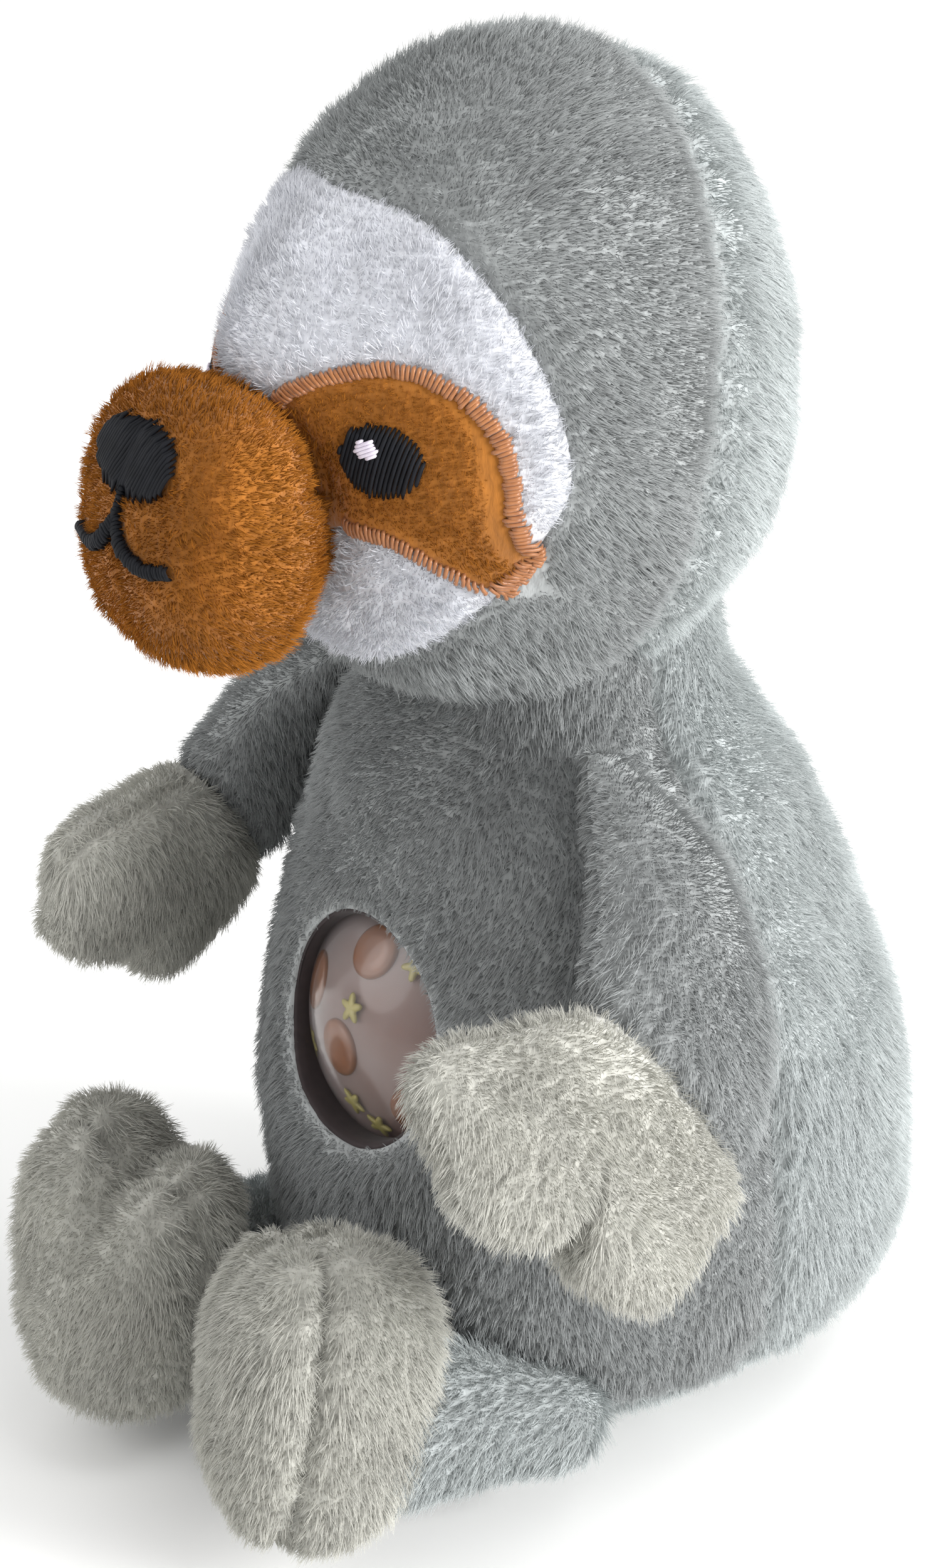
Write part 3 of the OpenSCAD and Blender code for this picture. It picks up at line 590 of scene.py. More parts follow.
torso = make_torso()
panel, _ = torso.split(window_field)
upper, lower = panel.split(lambda v: v[:, 2] - BASE_SEAM)
back, front = upper.split(lambda v: v[:, 1] - torso_mid(v[:, 2]))
for skin, name, slot, nodes in (
    (front, "torso_front", "grey_plush", ("torso_front_cover", "torso_stuffing", "neck_core")),
    (back, "torso_back", "light_grey_plush", ("torso_back_cover",)),
    (lower, "torso_base", "light_grey_plush", ("base_gusset", "seat_panel", "bean_bag")),
):
    count = len(skin.v)
    skin.hem()
    v = skin.v
    pile = seam_pile(v, v[:, 1] - torso_mid(v[:, 2]), v[:, 2] - BASE_SEAM)
    pile *= step(window_field(v), 0.4, 2.0)*0.9 + 0.1
    pile[v[:, 2] < 0.7] *= 0.35
    pile[v[:, 2] > 112.5] = 0
    pile[count:] = 0
    o = skin.piece(name, BACKING[slot], slot, None if name != "torso_base" else "torso")
    set_pile(o, pile)
    padded(o, 0.7, *nodes)
    if name != "torso_base":
        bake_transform(o)
    grow(o, "torso", slot, comb=(0, -0.1, -0.7))


# ---------- Head ----------

# Middle and tilt of the head, then its half width and its reach up, down, forward and back
HEAD_AT, HEAD_TURN = np.array([0, -16.5, 132.5]), rot("x", -11)
HEAD_W, HEAD_UP, HEAD_DOWN, HEAD_FRONT, HEAD_BACK = 31.0, 44.0, 34.0, 33.5, 37.0
CROWN_SEAM = 8.0
# White face's border: angle round the face, angle out from straight ahead
face_lat = hermite_table([
    [-180, 69], [-135, 60], [-110, 59], [-90, 60], [-70, 59], [-45, 60], [-15, 67], [0, 70],
    [20, 61], [45, 48], [90, 36], [135, 48], [160, 61], [180, 69]])
# Oval where the muzzle is sewn on, then the muzzle's reach, half width, half height and middle
RIM_Z, RIM_W, RIM_H = -9.0, 11.0, 12.0
MUZZLE_REACH, MUZZLE_W, MUZZLE_H, MUZZLE_Z = 50.0, 15.5, 16.5, -11.9


def to_head(v):
    return (v - HEAD_AT) @ HEAD_TURN


def face_y(x, z):
    u, w = x/HEAD_W, z/np.where(z > 0, HEAD_UP, HEAD_DOWN)
    return -HEAD_FRONT*np.sqrt(np.clip(1 - u*u - w*w, 0, 1))


def face_field(p):
    """Distance in mm outside the white face's border, for points in the head's own frame."""
    u, w = p[:, 0]/HEAD_W, p[:, 2]/np.where(p[:, 2] > 0, HEAD_UP, HEAD_DOWN)
    c = -p[:, 1]/np.where(p[:, 1] < 0, HEAD_FRONT, HEAD_BACK)
    lat, lon = np.degrees(np.arctan2(np.hypot(u, w), c)), np.degrees(np.arctan2(w, u))
    return (lat - face_lat(lon)[:, 0])*0.6


def rim_field(p):
    return (np.hypot(p[:, 0]/RIM_W, (p[:, 2] - RIM_Z)/RIM_H) - 1)*11


def make_head():
    lon = -np.linspace(0, 2*math.pi, 216, endpoint=False)
    rows = []
    for lat in np.radians(np.linspace(1.5, 178.5, 118)):
        front = HEAD_FRONT if lat < math.pi/2 else HEAD_BACK
        up = np.where(np.sin(lon) > 0, HEAD_UP, HEAD_DOWN)
        rows.append(np.stack([
            HEAD_W*math.sin(lat)*np.cos(lon), -front*math.cos(lat) + 0*lon,
            up*math.sin(lat)*np.sin(lon)], -1))
    skin = Skin.grid(rows, cap0=True, cap1=True)
    v = skin.v
    seam = v[:, 1] - CROWN_SEAM
    border = face_field(v)
    rim = rim_field(v)
    round_head = np.arctan2(v[:, 2], v[:, 0])*38
    amount = 0.5*noise3(v, 17, 5) + 0.2*noise3(v, 7, 6)
    amount += 0.5*bump(seam - 5, 4) + 0.4*bump(seam + 5, 4) - 1.6*bump(seam, 1.7)
    amount += puckers(round_head, seam - 2, 6.0, 0.4, 4)
    amount -= 0.55*bump(border, 1.3)
    amount += puckers(v[:, 2], border + 3, 3.2, 0.22, 3)*step(-v[:, 2], 8, 14)*(np.abs(v[:, 0]) > 5)
    amount -= 1.0*bump(rim, 1.8)*(v[:, 1] < 0)
    brow = bump(v[:, 0], 9)*bump(v[:, 2] - 8, 13)*(v[:, 1] < 0)
    amount += 5.2*brow
    skin.push(amount - PILE_SINK)
    return skin


muzzle_at = hermite_table([
    [-0.12, -0.3, 1], [0, 0, 1], [0.2, 0.75, 1], [0.4, 1, 1], [0.65, 1, 0.97], [0.82, 1, 0.84],
    [0.94, 1, 0.6], [1, 1, 0.3]])


def make_muzzle():
    a = np.linspace(0, 2*math.pi, 132, endpoint=False)
    root_x, root_z = RIM_W*np.cos(a), RIM_Z + RIM_H*np.sin(a)
    root_y = face_y(root_x, root_z)
    wide, tall = MUZZLE_W*power(np.cos(a), 0.8), MUZZLE_H*power(np.sin(a), 0.8)
    rows = []
    for t in list(np.linspace(-0.12, 0.8, 34)) + list(np.linspace(0.8, 1, 16)[1:]):
        blend, k = muzzle_at(t)
        rows.append(np.stack([
            root_x + (k*wide - root_x)*blend, root_y + (-MUZZLE_REACH - root_y)*t,
            root_z + (MUZZLE_Z + k*tall - root_z)*blend], -1))
    last = rows[-1]
    mid = last.mean(0)
    for s in (0.75, 0.5, 0.25, 0.08):
        rows.append(mid + (last - mid)*s + [0, -0.8*(1 - s*s), 0])
    skin = Skin.grid(rows, cap1=True)
    v = skin.v
    amount = 0.35*noise3(v, 9, 8) + 0.15*noise3(v, 4, 9)
    back_part = step(v[:, 1], -46, -36)
    dart = v[:, 2] - (MUZZLE_Z + 6.5)
    amount -= 0.9*bump(dart, 0.9)*back_part
    amount -= 0.35*bump(v[:, 0], 1.2)*step(-v[:, 1], 40, 46)
    skin.push(amount - 0.75)
    return skin


head = make_head()
hood, face_part = head.split(face_field)
head_back, head_front = hood.split(lambda p: p[:, 1] - CROWN_SEAM)
HEAD_TREE = tree(head)
muzzle = make_muzzle()
MUZZLE_TREE = tree(muzzle)


# Edges of an eye patch from the muzzle out, and the embroidery on the muzzle: key, x, z
PATCH_TOP = [[0, 5.5, 3.6], [1, 9.6, 6.9], [2, 15.6, 9.2], [3, 21.2, 7.2], [4, 24.7, 1.6], [5, 25.8, -9]]
PATCH_BOTTOM = [[0, 11.8, -9.0], [1.6, 16.5, -9.4], [3.3, 19.8, -11.2], [5, 23.2, -13.8]]
SMILE = [[0, 0, -10.6], [1, 1.4, -13.3], [2, 4.6, -15.2], [3, 8.6, -14.6]]
EYE, EYE_R = np.array([15.6, -0.7]), 3.9
NOSE_Z, NOSE_W, NOSE_H = -4.4, 7.0, 4.0


def curve2(keys, n=60):
    k = np.array(keys, float)
    return hermite_table(k)(np.linspace(k[0, 0], k[-1, 0], n))


def path_distance(p, path):
    """Distance of each point from a path, seen from the front, on either side of the face."""
    q = np.stack([np.abs(p[:, 0]), p[:, 2]], -1)
    return np.linalg.norm(q[:, None] - np.array(path)[None], axis=2).min(1)


def patch_field(p):
    """Distance in mm outside an eye patch and its border."""
    top, bottom = curve2(PATCH_TOP), curve2(PATCH_BOTTOM)
    x, z = np.abs(p[:, 0]), p[:, 2]
    edge = path_distance(p, np.concatenate([top, bottom]))
    inside = (z < np.interp(x, top[:, 0], top[:, 1])) & (x > top[0, 0]) & (x < top[-1, 0])
    inside &= z > np.interp(x, bottom[:, 0], bottom[:, 1])
    return np.where(inside, -edge, edge) - 0.7


def stitched_field(p):
    """Distance in mm outside the nose and the mouth."""
    oval = (np.hypot(p[:, 0]/NOSE_W, (p[:, 2] - NOSE_Z)/NOSE_H) - 1)*NOSE_H
    line = [[0, z] for z in np.linspace(-8, -12, 20)]
    mouth_edge = path_distance(p, np.concatenate([curve2(SMILE), line])) - 0.6
    return np.where(p[:, 1] < -30, np.minimum(oval, mouth_edge), 9)


def bare(field):
    """No pile where the field is below 0."""
    return step(field, -0.3, 0.5)


def on_head(p):
    return p @ HEAD_TURN.T + HEAD_AT


def place_on_head(skin):
    skin.v = on_head(skin.v)
    return skin


for skin, name, slot, nodes, comb in (
    (head_front, "head_front", "grey_plush", ("head_front_cover", "head_stuffing"), (0, 0.5, -0.45)),
    (head_back, "head_back", "light_grey_plush", ("head_back_cover",), (0, 0.3, -0.6)),
    (face_part, "face", "white_plush", ("face_panel",), (0, 0.2, 0.35)),
    (muzzle, "muzzle", "brown_plush", ("muzzle_cover", "muzzle_stuffing"), (0, 0.5, 0)),
):
    count = len(skin.v)
    skin.hem()
    p = skin.v
    if name == "muzzle":
        pile = 1 - 0.5*bump(p[:, 2] - (MUZZLE_Z + 6.5), 0.9)*step(p[:, 1], -46, -36)
        pile *= bare(stitched_field(p))
    else:
        pile = seam_pile(p, p[:, 1] - CROWN_SEAM, face_field(p), low=0.45)
        pile *= np.where(p[:, 1] < 0, step(rim_field(p), -1.5, 0.5)*bare(patch_field(p)), 1)
    pile[count:] = 0
    o = place_on_head(skin).piece(name, BACKING[slot], slot, "head")
    set_pile(o, pile)
    padded(o, 0.8, *nodes)
    short = 0.62 if name == "muzzle" else 0.9 if name == "face" else 1.0
    grow(o, "head", slot, length=2.0*short, comb=comb, density=10 if name == "muzzle" else 8)


# ---------- Embroidery ----------

def surface_points(points, bvh):
    """Points and normals of a skin straight behind x, z, in the head's own frame."""
    spots, normals = [], []
    for x, z in points:
        hit = bvh.ray_cast(Vector((x, -90, z)), Vector((0, 1, 0)))
        spots.append(hit[0] if hit[0] else Vector((x, -30, z)))
        n = hit[1] if hit[0] else Vector((0, -1, 0))
        normals.append(-n if n.y > 0 else n)
    return np.array(spots), np.array(normals)


def tubes(paths, normals, radius, sides=6, squash=0.8):
    """Skin of a closed tube along each path."""
    p, n = np.array(paths), np.array(normals)
    tangent = np.gradient(p, axis=1)
    tangent /= np.linalg.norm(tangent, axis=2)[..., None]
    across = np.cross(tangent, n)
    across /= np.linalg.norm(across, axis=2)[..., None]
    up = np.cross(across, tangent)
    m = p.shape[1]
    taper = np.clip(np.sin(np.linspace(0.12, 0.88, m)*math.pi)*1.6, 0.4, 1)[None, :, None]
    ring = [p + radius*taper*(across*math.cos(w) + up*squash*math.sin(w))
            for w in -np.linspace(0, 2*math.pi, sides, endpoint=False)]
    all_v, all_t, count = [], [], 0
    for one in np.stack(ring, 2):
        tube = Skin.grid(one, cap0=True, cap1=True)
        all_v.append(tube.v)
        all_t.append(tube.t + count)
        count += len(tube.v)
    return Skin(np.concatenate(all_v), np.concatenate(all_t))


def across_path(path, half_w, pitch, slant=0.0, ragged=0.12):
    """Stitches that cross a smooth path of x, z: each is (start, end)."""
    p = np.array(path, float)
    seg = np.r_[0, np.cumsum(np.linalg.norm(np.diff(p, axis=0), axis=1))]
    s = np.arange(0, seg[-1], pitch)
    mid = np.stack([np.interp(s, seg, p[:, k]) for k in (0, 1)], -1)
    direction = np.gradient(mid, axis=0)
    direction /= np.linalg.norm(direction, axis=1)[:, None]
    side = np.stack([direction[:, 1], -direction[:, 0]], -1)
    out = []
    for m, d, w in zip(mid, direction, side):
        a, b = rng.normal(0, ragged, 2)
        out.append((m - w*(half_w + a) - d*slant, m + w*(half_w + b) + d*slant))
    return out


def fill_oval(x, z, w, h, angle, pitch, ragged=0.25, corner=2.0):
    """Parallel stitches that fill an oval."""
    c, s = math.cos(math.radians(angle)), math.sin(math.radians(angle))
    out = []
    reach = math.hypot(w*s, h*c)
    for q in np.arange(-reach + pitch/2, reach, pitch):
        u = np.linspace(-max(w, h), max(w, h), 160)
        px, pz = u*c - q*s, u*s + q*c
        inside = np.abs(px/w)**corner + np.abs(pz/h)**corner < 1
        if inside.sum() < 4:
            continue
        lo, hi = u[inside][0] - abs(rng.normal(0, ragged)), u[inside][-1] + abs(rng.normal(0, ragged))
        out.append((np.array([x + lo*c - q*s, z + lo*s + q*c]),
                    np.array([x + hi*c - q*s, z + hi*s + q*c])))
    return out


def embroider(stitches, bvh, radius=0.26, height=0.55, lift=0.0, points=8):
    """Raised threads over a skin, each diving into the fabric at both ends."""
    paths, normals = [], []
    u = np.linspace(-1, 1, points)
    for a, b in stitches:
        line = [a + (b - a)*(k + 1)/2 for k in u]
        spots, n = surface_points(line, bvh)
        rise = lift + height*np.sqrt(np.clip(1 - u**4, 0, 1)) - 0.25 + rng.normal(0, 0.03)
        paths.append(spots + n*rise[:, None])
        normals.append(n)
    return tubes(paths, normals, radius)


BLACK = thread_material("black_thread", (0.003, 0.0034, 0.0045), (0.011, 0.012, 0.016), rough=0.6, sheen=0,
                        shine=0.15)
WHITE_THREAD = thread_material("white_thread", (0.45, 0.40, 0.50), (0.75, 0.70, 0.78))
COPPER = thread_material("copper_thread", (0.17, 0.05, 0.012), (0.40, 0.16, 0.05), rough=0.34)


def mirror_stitches(stitches):
    flip = np.array([-1, 1])
    return [(a*flip, b*flip) for a, b in stitches]


def stitched_piece(name, skin, material, slot, node):
    o = place_on_head(skin).piece(name, material, slot, "head")
    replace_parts(o, node)
    return o


def eye_patch(sign, side):
    n_along, n_up = 40, 26
    top, bottom = curve2(PATCH_TOP, n_along), curve2(PATCH_BOTTOM, n_along)
    top[0], bottom[0] = [2.2, 2.5], [9.0, -10.5]
    rows = []
    for f in np.linspace(-0.02, 1.02, n_up):
        line = bottom + (top - bottom)*f
        spots, normals = surface_points(line*[sign, 1], HEAD_TREE)
        rows.append(spots + normals*(0.55 if 0 < f < 1 else -0.3))
    if sign < 0:
        rows = rows[::-1]
    o = stitched_piece("eye_patch_" + side, Skin.grid(rows, wrap=False).hem(0.6),
                       BACKING["brown_plush"], "brown_plush", "eye_patch_" + side)
    v = np.array([w.co for w in o.data.vertices])/MM
    p = to_head(v)
    eye = np.hypot(np.abs(p[:, 0]) - EYE[0], p[:, 2] - EYE[1]) - EYE_R
    set_pile(o, bare(eye + 0.4)*bare(-patch_field(p) - 2.0))
    grow(o, "head", "brown_plush", length=0.85, comb=(0.4*sign, 0.2, -0.2), density=12, tufts=900)


def face_stitching(sign, side):
    patch_border = np.concatenate([curve2(PATCH_TOP, 70), curve2(PATCH_BOTTOM, 50)[::-1]])
    border = []
    for a, b in across_path(patch_border, 0.85, 0.4, slant=0.2):
        mid = (a + b)/2
        # narrower across where the head turns away, so that the border keeps its width
        turned = np.array([math.sqrt(max(1 - (mid[0]/HEAD_W)**2, 0.2)), 1])
        border.append((mid + (a - mid)*turned, mid + (b - mid)*turned))
    jobs = (
        ("patch_border_", border, COPPER,
         "copper_thread", dict(height=0.75, lift=0.45)),
        ("eye_", fill_oval(*EYE, 3.7, EYE_R, 82, 0.4), BLACK, "black_thread",
         dict(height=0.55, lift=0.9)),
        ("glint_", fill_oval(14.4, 0.4, 1.1, 0.95, 35, 0.36, 0.15), WHITE_THREAD, "white_thread",
         dict(height=0.5, lift=1.3, radius=0.22)),
    )
    for name, stitches, material, slot, extra in jobs:
        if sign < 0:
            stitches = mirror_stitches(stitches)
        stitched_piece(name + side, embroider(stitches, HEAD_TREE, **extra), material, slot, name + side)


for SIGN, SIDE in ((1, "left"), (-1, "right")):
    eye_patch(SIGN, SIDE)
    face_stitching(SIGN, SIDE)

nose_stitches = fill_oval(0, NOSE_Z, NOSE_W, NOSE_H, 70, 0.42, 0.3, corner=2.4)
stitched_piece("nose", embroider(nose_stitches, MUZZLE_TREE, radius=0.3, height=0.7, lift=0.5),
               BLACK, "black_thread", "nose")
smile = across_path(curve2(SMILE), 0.75, 0.4, slant=0.2, ragged=0.12)
mouth_stitches = smile + mirror_stitches(smile)
mouth_stitches += across_path([[0, -8.0], [0, -11.9]], 0.5, 0.4, ragged=0.1)
stitched_piece("mouth", embroider(mouth_stitches, MUZZLE_TREE, radius=0.28, height=0.7, lift=0.55),
               BLACK, "black_thread", "mouth")


# ---------- Arms ----------

ARM_AT, ARM_SLOPE, PIVOT = np.array([35.0, -14.0, 96.0]), 20.0, np.array([3.0, 2.0, 0])
WRIST, WRIST_TURN = np.array([22.6, 18.0]), math.radians(32)
# Step down the arm, front edge, back edge, half thickness and offset from the arm's plane
arm_at = hermite_table([
    [0, 7.5, -7.2, 2.2, -6.2, 1.7, -5.2], [1, 11.0, -1.0, 0.0, -1.0, 4.0, -3.1],
    [2, 13.8, 3.5, -1.9, 6.0, 5.2, -1.6], [3, 16.4, 8.0, -2.9, 13.5, 5.9, -0.5],
    [4, 18.6, 11.6, -3.1, 21.5, 6.3, 0.2], [5, 20.4, 14.6, -2.1, 29.0, 6.6, 0.5],
    [6, 21.6, 16.6, 0.8, 36.5, 6.9, 0.8], [7, 22.6, 18.0, 6.6, 43.6, 7.1, 1.0]])
HAND_MID = np.array([27.0, 33.0, 1.0])
HAND = [[23.5, 17], [32.6, 17], [40.8, 15.8], [45.7, 18.6], [46.5, 23.7], [45.3, 29.4],
        [45.4, 34.4], [39.8, 41], [34.2, 42.4], [31, 41.2], [31, 47.8], [25, 54], [19.6, 54],
        [13, 49.8], [6.6, 43.6], [-1, 33], [3, 20], [13, 13.5]]


def cushion(outline, mid, half_t, rows=46):
    p = outline - mid[:2]
    out = []
    for w in np.sin(np.linspace(-0.5, 0.5, rows)*math.pi*0.995):
        k = (1 - abs(w)**2.6)**0.5
        ring = np.concatenate([mid[:2] + p*k, np.full((len(p), 1), mid[2] + w*half_t)], 1)
        out.append(ring)
    return Skin.grid(out, cap0=True, cap1=True)


def wrist_field(v):
    return (v[:, 0] - WRIST[0])*math.cos(WRIST_TURN) + (v[:, 1] - WRIST[1])*math.sin(WRIST_TURN)


def arm_to_world(skin, lift, turn_in, sign):
    turn = rot("z", -turn_in) @ rot("y", 90 - ARM_SLOPE) @ rot("z", -90)
    swing = rot("z", -lift)
    skin.v = ((skin.v - PIVOT) @ swing.T + PIVOT) @ turn.T + ARM_AT
    return skin.mirrored() if sign < 0 else skin


def arm_point(a, b, lift, turn_in, sign):
    return Vector(arm_to_world(Skin([[a, b, 0]], [[0, 0, 0]]), lift, turn_in, sign).v[0]*MM)


def make_arm(seed):
    a = -np.linspace(0, 2*math.pi, 84, endpoint=False)
    rows = []
    for t in np.linspace(0, 7, 58):
        fx, fy, bx, by, thick, off = arm_at(t)
        mid, half = np.array([fx + bx, fy + by])/2, np.array([fx - bx, fy - by])/2
        xy = mid + half*np.cos(a)[:, None]
        rows.append(np.concatenate([xy, (off + thick*np.sin(a))[:, None]], 1))
    skin = Skin.grid(rows, cap0=True)
    v = skin.v
    edge = wrist_field(v)
    amount = 0.4*noise3(v, 10, seed) + 0.2*noise3(v, 5, seed + 1)
    amount -= 1.1*bump(edge, 1.6)
    amount += puckers(v[:, 0] - v[:, 1], edge, 6, 0.3, 5)
    skin.push(amount - PILE_SINK)
    skin.v[:, 2] -= 5.0*(1 - step(v[:, 1], -8, 12))
    return skin


def make_hand(seed):
    skin = cushion(loop(HAND, 150), HAND_MID, 7.5)
    v = skin.v
    edge = wrist_field(v)
    notch = np.hypot(v[:, 0] - 31, v[:, 1] - 41)
    amount = 0.45*noise3(v, 10, seed) + 0.2*noise3(v, 5, seed + 1)
    amount += 0.5*bump(edge - 5, 4) - 1.2*bump(edge, 1.6)
    amount -= 1.0*bump(v[:, 2] - 1, 1.2)*bump(notch, 9) + 0.5*bump(v[:, 2] - 1, 1.1)
    skin.push(amount - PILE_SINK)
    return skin.split(wrist_field)[0]


for SIGN, SIDE, LIFT, TURN_IN, SEED in ((1, "left", 0, 0, 21), (-1, "right", -8, 15, 27)):
    body = "arm_" + SIDE
    sleeve, hand = make_arm(SEED), make_hand(SEED + 3)
    for skin, name, slot, nodes in (
        (sleeve, "arm_", "grey_plush", ("arm_cover_", "arm_stuffing_", "shoulder_stitches_")),
        (hand, "hand_", "paw_plush", ("hand_cover_", "hand_stuffing_")),
    ):
        pile = seam_pile(skin.v, wrist_field(skin.v), low=0.5)
        count = len(skin.v)
        skin = arm_to_world(skin.hem(), LIFT, TURN_IN, SIGN)
        pile = np.concatenate([pile, np.zeros(len(skin.v) - count)])
        o = skin.piece(name + SIDE, BACKING[slot], slot, body if name == "hand_" else None)
        set_pile(o, pile)
        padded(o, 0.6, *[n + SIDE for n in nodes])
        if name == "arm_":
            [arm_point(*q, LIFT, TURN_IN, SIGN) for q in ((5, -7), (6, 9))]
            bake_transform(o)
        grow(o, body, slot, comb=(0, -0.25, -0.6))


# ---------- Legs ----------

HIP, HIP_R, ANKLE_R, LEG_LEN, LEG_TURN = np.array([26.0, -28.0, 13.0]), 8.0, 12.0, 29.0, 12.0
FOOT_AT, FOOT_H, FOOT_T, FOOT_TURN = np.array([19.5, -59.0, 0]), 42.0, 29.0, 22.0
FOOT_SEAM = 3.5         # distance of the foot's seam in front of its middle
FOOT = np.array([
    [0, -0.5], [0.17, -0.47], [0.28, -0.3], [0.32, -0.05], [0.31, 0.18], [0.27, 0.38],
    [0.17, 0.49], [0.06, 0.48], [-0.02, 0.4], [-0.08, 0.37], [-0.15, 0.39], [-0.23, 0.37],
    [-0.3, 0.27], [-0.32, 0.08], [-0.32, -0.14], [-0.26, -0.35], [-0.15, -0.47]])*FOOT_H


def leg_to_world(skin, raised, sign):
    skin.v = skin.v @ rot("x", -raised).T + HIP
    return skin.mirrored() if sign < 0 else skin


def make_leg(seed):
    a = np.linspace(0, 2*math.pi, 72, endpoint=False)
    profile = [[HIP_R*math.sin(q), HIP_R*math.cos(q)] for q in np.radians(np.linspace(-86, -4, 16))]
    profile += [[LEG_LEN*f, HIP_R + (ANKLE_R - HIP_R)*f] for f in np.linspace(0, 1, 28)]
    skin = Skin.grid([
        np.stack([r*np.cos(a), r*np.sin(a), z + 0*a], -1) for z, r in profile], cap0=True)
    v = skin.v
    skin.push(0.45*noise3(v, 11, seed) + 0.25*noise3(v, 5, seed + 1) - PILE_SINK
              + puckers(np.arctan2(v[:, 1], v[:, 0])*11, v[:, 2] - 22, 5.0, 0.35, 6))
    return skin.moved(rot("z", -LEG_TURN) @ rot("x", 87), [0, 0, 0])


def foot_seam(v):
    return v[:, 2] - FOOT_SEAM


def make_foot(seed):
    outline = loop(FOOT, 150)
    skin = cushion(outline, np.zeros(3), FOOT_T/2)
    v = skin.v
    round_foot = np.arctan2(v[:, 1], v[:, 0])*18
    amount = 0.4*noise3(v, 11, seed) + 0.2*noise3(v, 5, seed + 1)
    seam = foot_seam(v)
    amount += 0.4*bump(np.abs(seam) - 4, 3) - 1.1*bump(seam, 1.2)
    amount += puckers(round_foot, np.abs(seam) - 1.5, 4.6, 0.4, 4)
    amount -= 0.8*bump(v[:, 0] + 2, 2.2)*step(v[:, 1], 8, 16)
    skin.push(amount - PILE_SINK)
    return skin


for SIGN, SIDE, RAISED, SEED in ((1, "left", 10, 41), (-1, "right", 4, 47)):
    body = "leg_" + SIDE
    leg = leg_to_world(make_leg(SEED), RAISED, SIGN)
    o = leg.piece("leg_" + SIDE, BACKING["light_grey_plush"], "light_grey_plush", body)
    set_pile(o, np.ones(len(leg.v)))
    padded(o, 0.6, "leg_cover_" + SIDE, "leg_stuffing_" + SIDE, "hip_stitches_" + SIDE)
    grow(o, body, "light_grey_plush", comb=(0, -0.6, -0.2))
    sole, upper_foot = make_foot(SEED + 3).split(foot_seam)
    for skin, name, slot, nodes in (
        (sole, "foot_sole_", "paw_plush", ("foot_sole_panel_", "foot_stuffing_")),
        (upper_foot, "foot_back_", "paw_plush", ("foot_back_panel_",)),
    ):
        pile = seam_pile(skin.v, foot_seam(skin.v), low=0.4, width=1.3)
        count = len(skin.v)
        skin.hem()
        pile = np.concatenate([pile, np.zeros(len(skin.v) - count)])
        turn = rot("z", -FOOT_TURN) @ rot("x", 90)
        skin.moved(turn, FOOT_AT - HIP + [0, 0, FOOT_H/2])
        skin = leg_to_world(skin, RAISED, SIGN)
        o = skin.piece(name + SIDE, BACKING[slot], slot, body)
        set_pile(o, pile)
        padded(o, 0.75, *[n + SIDE for n in nodes])
        grow(o, body, slot, comb=(0, -0.2, -0.6))


# ---------- Belly ball ----------

BALL_R, BALL_SKIN, BALL_DEPTH = 21.0, 1.2, 22.2
BALL_AT = WINDOW_AT + WINDOW_TURN @ np.array([0, 0, -BALL_DEPTH])


def sphere_skin(r, n=96):
    a = np.linspace(0, 2*math.pi, n, endpoint=False)
    rows = [np.stack([r*math.sin(q)*np.cos(a), r*math.sin(q)*np.sin(a), -r*math.cos(q) + 0*a], -1)
            for q in np.linspace(0.02, math.pi - 0.02, n//2)]
    return Skin.grid(rows, cap0=True, cap1=True)


def ball_materials():
    clear, nodes, links, bsdf = new_material("clear_skin")
    bsdf.inputs["Base Color"].default_value = (0.93, 0.86, 0.84, 1)
    bsdf.inputs["Transmission Weight"].default_value = 0.97
    bsdf.inputs["Roughness"].default_value = 0.16
    bsdf.inputs["IOR"].default_value = 1.25
    bsdf.inputs["Coat Weight"].default_value = 0.5
    bsdf.inputs["Coat Roughness"].default_value = 0.12
    gel, nodes, links, bsdf = new_material("clear_gel")
    where = nodes.new("ShaderNodeTexCoord").outputs["Object"]
    cloud = nodes.new("ShaderNodeTexNoise")
    cloud.inputs["Scale"].default_value, cloud.inputs["Detail"].default_value = 70, 3
    links.new(where, cloud.inputs["Vector"])
    place = nodes.new("ShaderNodeSeparateXYZ")
    links.new(where, place.inputs[0])
    across = nodes.new("ShaderNodeMapRange")
    across.inputs["From Min"].default_value, across.inputs["From Max"].default_value = -0.013, 0.012
    links.new(place.outputs["X"], across.inputs["Value"])
    total = nodes.new("ShaderNodeMath")
    total.operation = "MULTIPLY_ADD"
    links.new(cloud.outputs["Fac"], total.inputs[0])
    total.inputs[1].default_value = 1.2
    links.new(across.outputs[0], total.inputs[2])
    late = nodes.new("ShaderNodeMath")
    late.operation = "SUBTRACT"
    late.use_clamp = True
    links.new(total.outputs[0], late.inputs[0])
    late.inputs[1].default_value = 0.8
    colour = mixed(nodes, links, late.outputs[0], (0.36, 0.33, 0.33), (0.19, 0.085, 0.055))
    links.new(colour, bsdf.inputs["Base Color"])
    bsdf.inputs["Subsurface Weight"].default_value = 0.5
    bsdf.inputs["Subsurface Radius"].default_value = (0.004, 0.003, 0.003)
    bsdf.inputs["Roughness"].default_value = 0.35
    out = [clear, gel]
    for name, colour in (("orange_glitter", (0.26, 0.095, 0.03)), ("yellow_glitter", (0.46, 0.43, 0.12))):
        m, nodes, links, bsdf = new_material(name)
        where = nodes.new("ShaderNodeTexCoord").outputs["Object"]
        n = nodes.new("ShaderNodeTexNoise")
        n.inputs["Scale"].default_value = 500
        links.new(where, n.inputs["Vector"])
        dark, light = [0.7*c for c in colour], [min(1.2*c, 1) for c in colour]
        links.new(mixed(nodes, links, n.outputs["Fac"], dark, light), bsdf.inputs["Base Color"])
        bsdf.inputs["Roughness"].default_value = 0.3
        bsdf.inputs["Coat Weight"].default_value = 0.4
        out.append(m)
    return out


